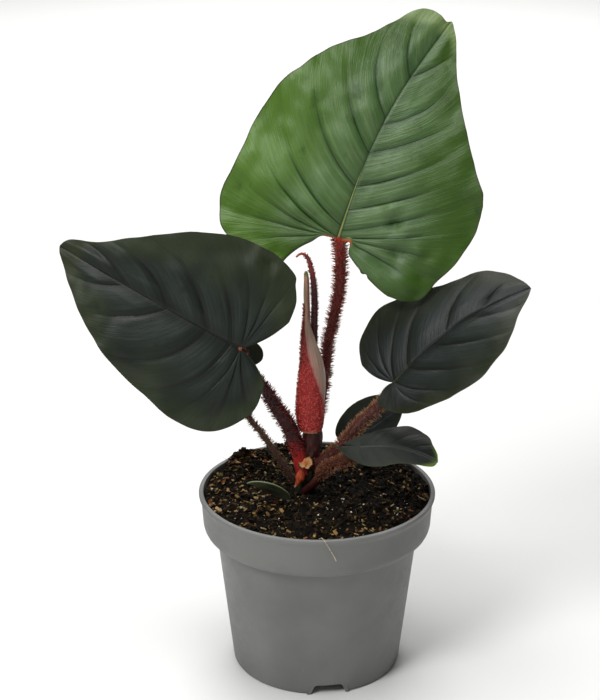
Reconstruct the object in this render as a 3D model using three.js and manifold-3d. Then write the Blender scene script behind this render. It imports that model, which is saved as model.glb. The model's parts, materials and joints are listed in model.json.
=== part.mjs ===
// Potted philodendron serpens: a grey nursery pot, its soil, a short stem with hairy petioles,
// heart-shaped blades and a new leaf in its red sheath. Millimetres, +Z up, +Y to the back.
// The origin is on the pot's axis, in the plane that the pot stands on.
import * as THREE from 'three';
import { mergeVertices } from 'three/addons/utils/BufferGeometryUtils.js';
import Module from 'manifold-3d';

const wasm = await Module();
wasm.setup();

// Driving dimensions
const potHeight = 93.8;
const lipRadius = 60;
const lipDepth = 2.6;
const edgeRounding = 0.6;
const bandTopRadius = 59;
const bandFootRadius = 58;
const bandFootHeight = 76.6;
const bodyTopRadius = 51.4;
const bodyTopHeight = 71.2;
const baseRadius = 43.4;
const potWall = 1.3;
const potSides = 40;
const channelCount = 3;
const channelTurn = -82.5;
const soilHeight = 91;
const soilSlope = 0.03;
const bitCount = 42;
const clearance = 0.35;
const bladeThickness = 0.8;
const bristleRoot = 0.4;

const colours = {
  pot: ['#757875', 0.55],
  soil: ['#2b221a', 0.95],
  stem: ['#4a1f1e', 0.6],
  petiole: ['#7a2420', 0.6],
  hairyPetiole: ['#7d4a34', 0.75],
  sheath: ['#b5423f', 0.55],
  scale: ['#c95a2c', 0.6],
  brightLeaf: ['#3f6f2a', 0.45],
  darkLeaf: ['#202a20', 0.4],
  greyLeaf: ['#5b6652', 0.5],
};

// Each blade lies on a bent surface: junction and tip are the midrib's ends, roll turns the blade
// about the midrib from level, and bend is the midrib's whole turn. Outlines are [along, across]
// from the tip to the sinus, left side first with across positive.
const leaves = [
  {
    name: 'leaf_tall', colour: 'brightLeaf', rows: 24, columns: 4,
    junction: [10, 12, 221.8], tip: [64.8, 42, 322.2], roll: 51, bend: 20, fold: 0.12, droop: 0.25,
    midribBow: 6, ruffle: 0.8, ridge: 1.2, shoulder: 0.58,
    left: {
      sinusBow: 0.13,
      outline: [[120, 10], [116, 17], [108, 23], [94, 33], [84, 43], [70, 53], [53, 60], [30, 64], [8, 64],
        [-8, 62], [-20, 56], [-26, 44], [-26, 30], [-22, 18]],
    },
    right: {
      sinusBow: 0.03,
      outline: [[119, 0], [112, -6], [99, -13], [79, -27], [62, -42], [48, -54], [34, -58], [14, -56],
        [-2, -51], [-10, -45], [-13, -35]],
    },
    petiole: {
      colour: 'petiole', radius: [2.4, 2.3, 2.4, 2.8], bristles: 50, bristleLength: 2.2, bristleStart: 0.22,
      path: [[-4, 1, 110], [-2.2, 5.6, 118], [1.2, 8.6, 133], [3.8, 11.4, 150], [6, 13, 170],
        [10.8, 15, 194], [11.4, 15.4, 207]],
    },
  },
  {
    name: 'leaf_left', colour: 'darkLeaf', rows: 24, columns: 4,
    junction: [-37, -20, 176], tip: [-125, 5, 220], roll: -74, bend: 25, fold: 0.15, droop: 0.3,
    midribBow: 0, ruffle: 0.8, ridge: 1, shoulder: 0.6,
    left: {
      sinusBow: -0.06,
      outline: [[99, 4], [86, 15], [77, 22], [64, 30], [44, 39], [22, 44], [8, 46], [-6, 43], [-15, 34],
        [-20, 22], [-18, 10]],
    },
    right: {
      sinusBow: 0,
      outline: [[99, -5], [84, -12], [66, -25], [45, -39], [28, -46], [14, -48], [0, -46.5], [-7, -43],
        [-8, -39], [-13, -33], [-13, -22]],
    },
    petiole: {
      colour: 'petiole', radius: [2.5, 2.3, 2.1, 2], bristles: 36, bristleLength: 2, bristleStart: 0.34,
      path: [[-8, 0, 103], [-10.5, -1, 112], [-12.2, -3, 121], [-13.8, -4.7, 128.5], [-20.5, -9, 142],
        [-26, -12.5, 152.8], [-33.5, -15.5, 166]],
    },
  },
  {
    name: 'leaf_right', colour: 'darkLeaf', rows: 22, columns: 4,
    junction: [37, -15, 157], tip: [101, -15, 205], roll: 26, bend: 25, fold: 0.3, droop: 0.4,
    midribBow: 3, ruffle: 0.8, ridge: 1, shoulder: 0.6,
    left: {
      sinusBow: -0.08,
      outline: [[79, 6], [74, 14], [66, 20.5], [48, 26], [34, 33], [23, 37.5], [13, 40], [2, 38], [-7, 31], [-10, 21]],
    },
    right: {
      sinusBow: -0.06,
      outline: [[78, -3], [70, -12], [59, -26], [45, -37], [32, -39.5], [17, -35], [7, -31], [-2, -23],
        [-9, -13], [-12, -4]],
    },
    petiole: {
      colour: 'hairyPetiole', radius: [2.5, 2.4, 2.3, 2], bristles: 46, bristleLength: 2.4, bristleStart: 0.24,
      path: [[-5, 0.5, 103], [0.5, -3, 111], [9.7, -8, 119.7], [15.2, -10, 126.5], [20.5, -11, 133],
        [29.7, -11.5, 142.5], [35, -12, 149.5]],
    },
  },
  {
    name: 'leaf_front', colour: 'darkLeaf', rows: 16, columns: 3,
    junction: [21, -27, 128], tip: [57, -42, 127], roll: 24, bend: 15, fold: 0.1, droop: 0.6,
    midribBow: 3, ruffle: 0.5, ridge: 0.7, shoulder: 0.55,
    left: { sinusBow: -0.05, outline: [[37, 4], [32, 11], [26, 15], [18, 17], [8, 15], [1, 11], [-3, 7]] },
    right: { sinusBow: 0, outline: [[38, -4], [28, -5], [18, -9.5], [8, -11], [-1, -9], [-10, -4], [-14, -1]] },
    petiole: {
      colour: 'hairyPetiole', radius: [2.8, 2.6, 2.3, 2], bristles: 34, bristleLength: 2.4, bristleStart: 0.3,
      path: [[-5, 1, 97], [0.5, -7, 104], [4, -13, 110], [11, -20, 117], [17, -24.5, 121.5]],
    },
  },
  {
    name: 'leaf_round', colour: 'darkLeaf', rows: 16, columns: 3,
    junction: [17, 6, 117], tip: [43, 14, 133], roll: 75, bend: 20, fold: 0.15, droop: 0.6,
    midribBow: 0, ruffle: 0.4, ridge: 0.6, shoulder: 0.6,
    left: { sinusBow: 0, outline: [[31, 5], [26, 11], [19, 14.5], [11, 15.5], [2, 13], [-4, 8], [-5, 3]] },
    right: { sinusBow: 0, outline: [[31, -2], [26, -6], [19, -9], [11, -10], [3, -8], [-3, -5], [-4, -2]] },
    petiole: {
      colour: 'petiole', radius: [1.7, 1.6, 1.5, 1.4], bristles: 12, bristleLength: 1.6, bristleStart: 0.35,
      path: [[-5, 2, 98], [3, 6, 104], [9, 8.5, 109.5], [14, 9.3, 113.6]],
    },
  },
  {
    name: 'leaf_back', colour: 'darkLeaf', rows: 16, columns: 3,
    junction: [-40, 12, 154], tip: [-68, 22, 163], roll: -75, bend: 20, fold: 0.15, droop: 0.5,
    midribBow: 0, ruffle: 0.4, ridge: 0.6, shoulder: 0.6,
    left: { sinusBow: 0, outline: [[27, 4], [18, 9], [8, 14], [-1, 14.5], [-8, 12], [-10, 7], [-7, 3]] },
    right: { sinusBow: 0, outline: [[27, -7], [19, -13], [9, -17], [0, -17], [-8, -14], [-10, -9], [-7, -4]] },
    petiole: {
      colour: 'hairyPetiole', radius: [1.6, 1.5, 1.4, 1.3], bristles: 22, bristleLength: 1.6, bristleStart: 0.2,
      path: [[-7.5, 2, 92], [-11.8, 1.5, 97], [-16.2, 3, 104], [-22.3, 7, 111.8], [-28.5, 11, 119.7],
        [-34.7, 14.5, 126.6], [-38.8, 15.5, 140]],
    },
  },
  {
    name: 'leaf_low', colour: 'greyLeaf', rows: 12, columns: 2,
    junction: [-14.2, -11, 94.2], tip: [-35, -15, 104], roll: 12, bend: 35, fold: 0.1, droop: 1,
    midribBow: 0, ruffle: 0, ridge: 0.4, shoulder: 0.9,
    left: { sinusBow: 0, outline: [[19, 3.5], [12, 5.5], [5, 5], [1, 2.5]] },
    right: { sinusBow: 0, outline: [[19, -3], [12, -5], [5, -4.5], [1, -2]] },
    petiole: {
      colour: 'petiole', radius: [1.2, 1.2, 1.1, 1], bristles: 0, bristleLength: 0, bristleStart: 0,
      path: [[-6, -1, 92], [-9, -7, 91.8], [-12, -9.8, 91.9]],
    },
  },
];

const stem = {
  path: [[-6.5, 3, 72], [-6.7, 2.5, 86], [-6.5, 2, 94], [-5.6, 1, 103], [-4.3, 0.6, 111], [-2.6, 0.3, 119], [-2.4, 0, 125.5]],
  radius: [2, 4.6, 4.7, 4.9, 5, 4.8, 4.8],
  sides: 14, steps: 16,
};
const cutStub = { from: [-5.4, -1, 108.3], to: [-5.7, -6, 110.2], radius: 3.5, sides: 12 };
const budScale = { centre: [-7.4, -5.3, 101.3], size: [2, 1.3, 5.6], lean: 12 };

// The sheath's rows from its base to its point: height, centre, half width and half depth.
const sheath = {
  rows: [[126, -4.1, 6.4, 4.9], [134, -3.7, 6.8, 5.2], [142, -3.4, 6.9, 5.3], [150, -2.9, 6.9, 5.2],
    [156, -2.7, 6.5, 4.9], [163, -2.9, 5.6, 4.2], [169, -3.7, 4.6, 3.4], [176, -4.7, 3.1, 2.5],
    [182, -5.4, 2, 1.8], [189, -5.3, 1.4, 1.4], [198, -5.5, 1.3, 1.3], [205, -5.5, 1, 1], [209.5, -5.7, 0.5, 0.5]],
  depth: -3, wall: 1.1, openFrom: 20, openTo: 100, arcSteps: 11,
  raggedness: 0.7, bristles: 40, bristleLength: 1.7,
};

const youngLeaf = {
  path: [[-1.8, -2, 126.1], [-1.9, -1.8, 142], [-2.2, -0.8, 157.7], [-1.5, 0.5, 170.8], [-1.2, 0.6, 183.3],
    [-0.8, 0.3, 192], [-1.2, 0, 201.7], [-2.5, -1, 209.6], [-4.3, -2, 215.4], [-6.7, -3, 218.2],
    [-8.8, -4, 218.4], [-10, -5, 216.7]],
  radius: [2.5, 2.2, 1.9, 1.7, 1.6, 1.4, 1.1, 0.6],
  sides: 8, steps: 26, bristles: 30, bristleLength: 1.3, bristleStart: 0.5,
};

const vector = (p) => new THREE.Vector3(...p);
const radians = THREE.MathUtils.degToRad;

// The same draws each run
function seededRandom(seed) {
  let state = seed;
  return () => {
    state = (Math.imul(state, 1664525) + 1013904223) >>> 0;
    return state / 4294967296;
  };
}

function solidFrom(geometry) {
  const bare = geometry.index ? geometry.toNonIndexed() : geometry.clone();
  bare.deleteAttribute('normal');
  bare.deleteAttribute('uv');
  const merged = mergeVertices(bare, 1e-4);
  const corners = [];
  for (let i = 0; i < merged.index.count; i += 3) {
    const [a, b, c] = [0, 1, 2].map((k) => merged.index.getX(i + k));
    if (a !== b && b !== c && c !== a) corners.push(a, b, c);
  }
  return new wasm.Manifold(new wasm.Mesh({
    numProp: 3,
    vertProperties: new Float32Array(merged.attributes.position.array),
    triVerts: new Uint32Array(corners),
  }));
}

function geometryFrom(solid) {
  const mesh = solid.getMesh();
  const geometry = new THREE.BufferGeometry();
  geometry.setAttribute('position', new THREE.BufferAttribute(new Float32Array(mesh.vertProperties), 3));
  geometry.setIndex(new THREE.BufferAttribute(new Uint32Array(mesh.triVerts), 1));
  geometry.computeVertexNormals();
  return geometry;
}

const joined = (solids) => solids.reduce((whole, solid) => whole.add(solid));

// A closed skin over rows of points: each row is a ring, and the first and last are capped
function ringSkin(rings) {
  const triangles = [];
  const quad = (a, b, c, d) => triangles.push(a, b, c, a, c, d);
  for (let i = 0; i + 1 < rings.length; i += 1) {
    const [low, high] = [rings[i], rings[i + 1]];
    low.forEach((point, j) => {
      const next = (j + 1) % low.length;
      quad(point, low[next], high[next], high[j]);
    });
  }
  return triangles;
}

function fanCap(ring, reversed) {
  const centre = new THREE.Vector3();
  ring.forEach((point) => centre.add(point));
  centre.divideScalar(ring.length);
  return ring.flatMap((point, j) => {
    const next = ring[(j + 1) % ring.length];
    return reversed ? [centre, next, point] : [centre, point, next];
  });
}

function trianglesToGeometry(points) {
  return new THREE.BufferGeometry().setFromPoints(points);
}

// Radii spread evenly along a tube's length
function radiusAt(radii, t) {
  const place = t * (radii.length - 1);
  const i = Math.min(Math.floor(place), radii.length - 2);
  return THREE.MathUtils.lerp(radii[i], radii[i + 1], place - i);
}

function tube(path, radii, sides, steps, grow = 0) {
  const curve = new THREE.CatmullRomCurve3(path.map(vector), false, 'centripetal');
  const frames = curve.computeFrenetFrames(steps, false);
  const rings = [];
  for (let i = 0; i <= steps; i += 1) {
    const centre = curve.getPointAt(i / steps);
    const radius = radiusAt(radii, i / steps) + grow;
    rings.push(Array.from({ length: sides }, (_, j) => {
      const angle = (2 * Math.PI * j) / sides;
      return centre.clone()
        .addScaledVector(frames.normals[i], radius * Math.cos(angle))
        .addScaledVector(frames.binormals[i], radius * Math.sin(angle));
    }));
  }
  return trianglesToGeometry([...fanCap(rings[0], true), ...ringSkin(rings), ...fanCap(rings[steps], false)]);
}

// A three-sided spike with its root sunk below the surface
function bristle(root, direction, length) {
  const spike = new THREE.ConeGeometry(bristleRoot, length + 2 * bristleRoot, 3, 1);
  spike.translate(0, length / 2 - bristleRoot, 0);
  spike.applyQuaternion(new THREE.Quaternion().setFromUnitVectors(new THREE.Vector3(0, 1, 0), direction));
  spike.translate(root.x, root.y, root.z);
  return solidFrom(spike);
}

// Bristles in a spiral round a tube, leaning a little towards its far end
function bristlesOn({ path, radius, bristles, bristleLength, bristleStart }, random) {
  const curve = new THREE.CatmullRomCurve3(path.map(vector), false, 'centripetal');
  const goldenAngle = Math.PI * (3 - Math.sqrt(5));
  const endMargin = 0.08;
  return Array.from({ length: bristles }, (_, i) => {
    const t = bristleStart + (1 - endMargin - bristleStart) * ((i + random()) / bristles);
    const along = curve.getTangentAt(t);
    const side = new THREE.Vector3(0, 1, 0).cross(along).normalize().applyAxisAngle(along, i * goldenAngle);
    const root = curve.getPointAt(t).addScaledVector(side, radiusAt(radius, t) * 0.9);
    const lean = side.clone().addScaledVector(along, 0.1 + 0.5 * random()).normalize();
    return bristle(root, lean, bristleLength * (0.75 + 0.4 * random()));
  });
}

// The bent surface that a blade lies on, from flat coordinates and a height above it
function bladeSurface(leaf) {
  const junction = vector(leaf.junction);
  const chord = vector(leaf.tip).sub(junction);
  const along = chord.clone().normalize();
  const side = new THREE.Vector3(0, 0, 1).cross(along).normalize();
  const up = along.clone().cross(side).applyAxisAngle(along, radians(leaf.roll));
  const across = up.clone().cross(along);
  const half = radians(leaf.bend) / 2;
  const start = along.clone().multiplyScalar(Math.cos(half)).addScaledVector(up, Math.sin(half));
  const lift = up.clone().multiplyScalar(Math.cos(half)).addScaledVector(along, -Math.sin(half));
  const length = (chord.length() * half) / Math.sin(half);
  const turn = (2 * half) / length;
  const foldRounding = 3;
  const ruffleWave = 44;
  const ruffleReach = 40;
  const heightAt = (u, v) => leaf.fold * (Math.hypot(v, foldRounding) - foldRounding)
    - (leaf.droop * v * v) / 100
    + leaf.ruffle * Math.sin((2 * Math.PI * u) / ruffleWave) * (v / ruffleReach) ** 2;
  const point = (u, v, above = 0) => {
    const h = heightAt(u, v) + above;
    return junction.clone()
      .addScaledVector(start, Math.sin(turn * u) / turn + h * Math.sin(turn * u))
      .addScaledVector(lift, -(1 - Math.cos(turn * u)) / turn + h * Math.cos(turn * u))
      .addScaledVector(across, v);
  };
  return { point, length, up };
}

// A stalk's path with its last point under the junction, just clear of the blade's lower face
function stalkPath(leaf) {
  const { path, radius } = leaf.petiole;
  const { point, up } = bladeSurface(leaf);
  const pastJunction = 1;
  const arrival = point(pastJunction, 0).sub(vector(path[path.length - 1])).normalize();
  const reach = radius[radius.length - 1] * Math.sqrt(1 - arrival.dot(up) ** 2);
  return [...path, point(pastJunction, 0, -(bladeThickness / 2 + 2 * clearance + reach)).toArray()];
}

// Rows of flat points on one half: each row leaves the midrib, or the junction past the shoulder,
// and runs to the margin in a bow, as a side vein does
function halfRows(leaf, half, length) {
  const outline = [[length, 0], ...half.outline].map(([u, v]) => new THREE.Vector3(u, v, 0));
  const margin = new THREE.CatmullRomCurve3(outline, false, 'centripetal');
  const veinBow = -0.09;
  const midribWidth = 0.05;
  return Array.from({ length: leaf.rows + 1 }, (_, i) => {
    const s = i / leaf.rows;
    const edge = margin.getPointAt(s);
    const u = length * Math.max(0, 1 - s / leaf.shoulder);
    const middle = new THREE.Vector3(u, leaf.midribBow * Math.sin((Math.PI * u) / length), 0);
    const row = edge.clone().sub(middle);
    const tipward = new THREE.Vector3(Math.abs(row.y), -row.x * Math.sign(edge.y || 1), 0);
    const past = Math.max(0, (s - leaf.shoulder) / (1 - leaf.shoulder));
    const bow = THREE.MathUtils.lerp(veinBow, half.sinusBow, past);
    return Array.from({ length: leaf.columns + 2 }, (_, j) => {
      const t = j < 2 ? j * midribWidth : midribWidth + ((1 - midribWidth) * (j - 1)) / leaf.columns;
      return middle.clone().addScaledVector(row, t).addScaledVector(tipward, 4 * bow * t * (1 - t));
    });
  });
}

function bladeSolid(leaf) {
  const { point, length } = bladeSurface(leaf);
  const ridgeTaper = 8;
  const last = leaf.columns + 1;
  const triangles = [];
  const quad = (a, b, c, d, turnedOver) => {
    triangles.push(...(turnedOver ? [a, c, b, a, d, c] : [a, b, c, a, c, d]));
  };
  [leaf.left, leaf.right].forEach((half) => {
    const rows = halfRows(leaf, half, length);
    const isLeft = half === leaf.left;
    const face = (upper) => rows.map((row) => row.map((flat, j) => {
      const rib = j === 0 ? leaf.ridge * Math.min(1, flat.x / ridgeTaper) * (1 - flat.x / length) : 0;
      return point(flat.x, flat.y, upper ? bladeThickness / 2 : -bladeThickness / 2 - rib);
    }));
    const [top, bottom] = [face(true), face(false)];
    for (let i = 0; i < leaf.rows; i += 1) {
      const j = last;
      for (let k = 0; k < last; k += 1) {
        quad(top[i][k], top[i + 1][k], top[i + 1][k + 1], top[i][k + 1], isLeft);
        quad(bottom[i][k], bottom[i + 1][k], bottom[i + 1][k + 1], bottom[i][k + 1], !isLeft);
      }
      quad(top[i][j], top[i + 1][j], bottom[i + 1][j], bottom[i][j], isLeft);
    }
    const [topEdge, bottomEdge] = [top[leaf.rows], bottom[leaf.rows]];
    for (let k = 0; k < last; k += 1) {
      quad(topEdge[k + 1], topEdge[k], bottomEdge[k], bottomEdge[k + 1], isLeft);
    }
  });
  return solidFrom(trianglesToGeometry(triangles));
}

// Points offset inwards from a profile, square to it, and no lower than the floor's top
function insideOf(profile, distance) {
  return profile.map(([r, z], i) => {
    const [r0, z0] = profile[Math.max(0, i - 1)];
    const [r1, z1] = profile[Math.min(profile.length - 1, i + 1)];
    const run = Math.hypot(r1 - r0, z1 - z0);
    return [r - (distance * (z1 - z0)) / run, Math.max(distance, z + (distance * (r1 - r0)) / run)];
  });
}

function turned(profile) {
  const lathe = new THREE.LatheGeometry(profile.map(([r, z]) => new THREE.Vector2(r, z)), potSides);
  return lathe.rotateX(Math.PI / 2);
}

// The wall's outside from the base's edge to the top of the rim band
const wallProfile = [
  [baseRadius - edgeRounding, 0], [baseRadius, edgeRounding], [bodyTopRadius, bodyTopHeight],
  [bodyTopRadius + 3.5, bodyTopHeight + 1.1], [bandFootRadius - 0.8, bandFootHeight - 2.4],
  [bandFootRadius, bandFootHeight], [bandTopRadius, potHeight - lipDepth],
];

// A drain channel runs in from a notch in the base's edge; its block is the same form a wall larger.
// The overrun is how far the cutting form passes the pot's outside.
const channel = { foot: 19, top: 13.6, height: 5.1, inner: 27, holeRadius: 3.5, overrun: 1 };

function channelForm(grow, reach) {
  const half = channel.foot / 2 + grow;
  const topHalf = channel.top / 2 + grow;
  const height = channel.height + grow;
  const section = new THREE.Shape([
    new THREE.Vector2(-half, -channel.overrun), new THREE.Vector2(half, -channel.overrun),
    new THREE.Vector2(topHalf, height), new THREE.Vector2(-topHalf, height),
  ]);
  const start = channel.inner - grow;
  const form = new THREE.ExtrudeGeometry(section, { depth: reach - start, bevelEnabled: false });
  return form.rotateX(Math.PI / 2).rotateZ(Math.PI / 2).translate(start, 0, 0);
}

const channelTurns = Array.from({ length: channelCount }, (_, i) => radians(channelTurn + (360 * i) / channelCount));

function channelBlocks(grow, reach) {
  const room = 2 * lipRadius;
  const aboveGround = solidFrom(new THREE.BoxGeometry(room, room, room).translate(0, 0, room / 2));
  return channelTurns.map((turn) => solidFrom(channelForm(grow, reach).rotateZ(turn)).intersect(aboveGround));
}

function potSolid() {
  const lip = [
    [lipRadius, potHeight - lipDepth], [lipRadius, potHeight - edgeRounding], [lipRadius - edgeRounding, potHeight],
  ];
  const inner = insideOf(wallProfile, potWall).slice(1).reverse();
  const outside = [[0, 0], ...wallProfile, ...lip];
  const shell = solidFrom(turned([...outside, [inner[0][0], potHeight], ...inner, [0, potWall]]));
  const blocks = joined(channelBlocks(potWall, baseRadius - potWall / 2));
  const channels = joined(channelTurns.map((turn) => solidFrom(channelForm(0, lipRadius).rotateZ(turn))));
  const drill = new THREE.CylinderGeometry(channel.holeRadius, channel.holeRadius, 2 * channel.height, 12)
    .rotateX(Math.PI / 2).translate(channel.inner, 0, channel.height);
  const holes = joined(channelTurns.map((turn) => solidFrom(drill.clone().rotateZ(turn))));
  return shell.add(blocks).subtract(channels).subtract(holes);
}

// The soil's surface: a gentle slope up to the back, a heap by the back left rim, and crumbs
function soilTop(x, y) {
  const heap = 3.6 * Math.exp(-((x + 36) ** 2 + (y - 36) ** 2) / 260);
  const crown = 0.8 * Math.exp(-((x + 6) ** 2 + (y - 2) ** 2) / 160);
  const crumbs = 0.7 * Math.sin(0.31 * x + 0.7) * Math.cos(0.27 * y) + 0.5 * Math.sin(0.53 * x - 0.41 * y);
  return soilHeight + soilSlope * y + heap + crown + crumbs;
}

function soilBody() {
  const wall = insideOf(wallProfile, potWall + clearance).slice(1);
  const topRadius = wall[wall.length - 1][0] - 0.8;
  const ringRadii = [0, 10, 20, 30, 40, 49, topRadius];
  const rim = soilHeight - 4;
  const side = wall.filter(([, z]) => z < rim).concat([[topRadius, rim]]);
  const profile = [[0, potWall + clearance], ...side];
  ringRadii.slice().reverse().forEach((r) => profile.push([r, soilHeight]));
  const body = turned(profile);
  const position = body.attributes.position;
  for (let i = 0; i < position.count; i += 1) {
    if (position.getZ(i) > soilHeight - 0.1) position.setZ(i, soilTop(position.getX(i), position.getY(i)));
  }
  return solidFrom(body).subtract(joined(channelBlocks(potWall + clearance, baseRadius)));
}

// Bark and perlite bits, half sunk in the surface and thickest in the heap
function soilBits(random) {
  return Array.from({ length: bitCount }, (_, i) => {
    const heaped = i % 4 === 0;
    const angle = heaped ? radians(135 + 50 * (random() - 0.5)) : 2 * Math.PI * random();
    const radius = heaped ? 36 + 16 * random() : 14 + 38 * Math.sqrt(random());
    const [x, y] = [radius * Math.cos(angle), radius * Math.sin(angle)];
    const bit = new THREE.OctahedronGeometry(1);
    bit.scale(1.6 + 2.2 * random(), 1.2 + 1.2 * random(), 1 + 1.4 * random());
    bit.rotateX(random()).rotateZ(Math.PI * random()).translate(x, y, soilTop(x, y) + 0.3 * random());
    return solidFrom(bit);
  });
}

function stubSolid({ from, to, radius, sides }) {
  const axis = vector(to).sub(vector(from));
  const stub = new THREE.CylinderGeometry(radius, radius, axis.length(), sides).translate(0, axis.length() / 2, 0);
  stub.applyQuaternion(new THREE.Quaternion().setFromUnitVectors(new THREE.Vector3(0, 1, 0), axis.clone().normalize()));
  return solidFrom(stub.translate(...from));
}

function budScaleSolid({ centre, size, lean }) {
  const scale = new THREE.SphereGeometry(1, 10, 8).rotateX(Math.PI / 2).scale(...size);
  return solidFrom(scale.rotateY(radians(lean)).translate(...centre));
}

// An open sheath: each ring runs round the outside and back along the inside of its wall
function sheathSolid(random) {
  const { rows, depth, wall, openFrom, openTo, arcSteps } = sheath;
  const arc = 360 - (openTo - openFrom);
  const rings = rows.map(([z, x, halfWidth, halfDepth], i) => {
    const at = (share, a) => {
      const angle = radians(openTo + arc * a);
      const ragged = i === 0 ? sheath.raggedness * Math.abs(Math.sin(9 * angle)) : 0;
      return new THREE.Vector3(x + share * halfWidth * Math.cos(angle),
        depth + share * halfDepth * Math.sin(angle), z + ragged);
    };
    const innerShare = Math.max(0.35, 1 - wall / halfWidth);
    const steps = Array.from({ length: arcSteps + 1 }, (_, j) => j / arcSteps);
    return [...steps.map((a) => at(1, a)), ...steps.reverse().map((a) => at(innerShare, a))];
  });
  const strip = (ring, reversed) => {
    const count = ring.length;
    const triangles = [];
    for (let j = 0; j < arcSteps; j += 1) {
      const [a, b, c, d] = [ring[j], ring[j + 1], ring[count - 2 - j], ring[count - 1 - j]];
      triangles.push(...(reversed ? [d, c, b, d, b, a] : [a, b, c, a, c, d]));
    }
    return triangles;
  };
  const shell = solidFrom(trianglesToGeometry([
    ...strip(rings[0], true), ...ringSkin(rings), ...strip(rings[rings.length - 1], false),
  ]));
  const hairs = Array.from({ length: sheath.bristles }, (_, i) => {
    const place = (i + random()) / sheath.bristles;
    const row = 1 + place * 6;
    const [low, high] = [rows[Math.floor(row)], rows[Math.floor(row) + 1]];
    const [z, x, halfWidth, halfDepth] = low.map((value, k) => THREE.MathUtils.lerp(value, high[k], row % 1));
    const angle = radians(130 + 150 * random());
    const out = new THREE.Vector3(Math.cos(angle), Math.sin(angle), 0.35).normalize();
    const root = new THREE.Vector3(x + 0.97 * halfWidth * Math.cos(angle), depth + 0.97 * halfDepth * Math.sin(angle), z);
    return bristle(root, out, sheath.bristleLength * (0.6 + 0.5 * random()));
  });
  return joined([shell, ...hairs]);
}

const plant = new THREE.Group();

function addPiece(name, solid, colour) {
  const [hex, roughness] = colours[colour];
  const material = new THREE.MeshStandardMaterial({ color: hex, roughness, metalness: 0 });
  const mesh = new THREE.Mesh(geometryFrom(solid), material);
  mesh.name = name;
  plant.add(mesh);
}

// The room that the stem takes up, let down a little so that its foot is clear as well
const stemForm = (grow) => tube(stem.path, stem.radius, stem.sides, stem.steps, grow);
const stemSolid = solidFrom(stemForm(0)).add(stubSolid(cutStub));
const stemSpace = joined([
  solidFrom(stemForm(clearance)), solidFrom(stemForm(clearance).translate(0, 0, -clearance)),
  stubSolid({ ...cutStub, radius: cutStub.radius + clearance }),
]);

addPiece('pot', potSolid(), 'pot');
addPiece('stem', stemSolid, 'stem');
addPiece('bud_scale', budScaleSolid(budScale).subtract(stemSpace), 'scale');
addPiece('sheath', sheathSolid(seededRandom(5)), 'sheath');

const petioleSides = 8;
const petioleSteps = 14;
const petioleSpaces = [];
leaves.forEach((leaf, i) => {
  const stalk = { ...leaf.petiole, path: stalkPath(leaf) };
  const stalkTube = (grow) => solidFrom(tube(stalk.path, stalk.radius, petioleSides, petioleSteps, grow));
  const hairs = bristlesOn(stalk, seededRandom(20 + i));
  addPiece(`${leaf.name}_blade`, bladeSolid(leaf), leaf.colour);
  addPiece(`${leaf.name}_petiole`, joined([stalkTube(0).subtract(stemSpace), ...hairs]), stalk.colour);
  petioleSpaces.push(stalkTube(clearance));
});

const youngTube = solidFrom(tube(youngLeaf.path, youngLeaf.radius, youngLeaf.sides, youngLeaf.steps));
addPiece('young_petiole', joined([youngTube, ...bristlesOn(youngLeaf, seededRandom(40))]), 'petiole');

// The stem and the lowest stalks stand in plain holes in the soil
const soil = joined([soilBody(), ...soilBits(seededRandom(7))]);
addPiece('soil', soil.subtract(joined([stemSpace, ...petioleSpaces])), 'soil');

export default plant;
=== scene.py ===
# Potted philodendron serpens: fine blades, bristly stalks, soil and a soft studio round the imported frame.
# The tables are in millimetres and degrees, as the solids' are; every mesh is made in metres.
import json
import math
import random

import bpy
from mathutils import Matrix, Vector, noise

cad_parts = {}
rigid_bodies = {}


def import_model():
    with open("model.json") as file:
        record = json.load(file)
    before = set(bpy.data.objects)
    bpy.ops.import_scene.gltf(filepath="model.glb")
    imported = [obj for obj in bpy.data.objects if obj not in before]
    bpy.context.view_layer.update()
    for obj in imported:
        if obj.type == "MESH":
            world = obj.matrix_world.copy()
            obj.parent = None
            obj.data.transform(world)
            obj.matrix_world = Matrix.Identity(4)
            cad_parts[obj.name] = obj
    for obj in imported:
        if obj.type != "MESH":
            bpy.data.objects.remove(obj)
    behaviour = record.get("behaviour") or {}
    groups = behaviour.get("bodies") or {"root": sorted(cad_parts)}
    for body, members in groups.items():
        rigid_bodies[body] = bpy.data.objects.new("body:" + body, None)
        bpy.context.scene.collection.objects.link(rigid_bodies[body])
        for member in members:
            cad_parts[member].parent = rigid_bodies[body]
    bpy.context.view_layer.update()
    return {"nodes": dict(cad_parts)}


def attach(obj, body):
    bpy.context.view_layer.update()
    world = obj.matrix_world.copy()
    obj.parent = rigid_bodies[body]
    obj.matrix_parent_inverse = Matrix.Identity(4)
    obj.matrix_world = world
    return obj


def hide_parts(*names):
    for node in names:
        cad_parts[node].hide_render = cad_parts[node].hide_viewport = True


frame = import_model()
mm = 0.001
print("frame loaded:", len(frame["nodes"]), "nodes")


# Camera, where the photograph was taken from
cameraSettings = {"place": (-0.0086, -0.695, 0.418), "pitch": 19.77, "focalPixels": 1500, "framePixels": 700,
                  "sensor": 36}


def placeCamera(settings):
    turn = math.radians(90 - settings["pitch"])
    bpy.ops.object.camera_add(location=settings["place"], rotation=(turn, 0, 0))
    camera = bpy.context.object
    camera.data.sensor_width = settings["sensor"]
    camera.data.lens = settings["focalPixels"] * settings["sensor"] / settings["framePixels"]
    camera.data.clip_start = 0.01
    bpy.context.scene.camera = camera


placeCamera(cameraSettings)
print("camera placed")


# Selecting, shaping and dressing
def clearSelection():
    for item in list(bpy.context.selected_objects):
        item.select_set(False)


def pickOnly(piece):
    clearSelection()
    piece.select_set(True)
    bpy.context.view_layer.objects.active = piece


def nameActive(name):
    piece = bpy.context.object
    piece.name = piece.data.name = name
    return piece


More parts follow.
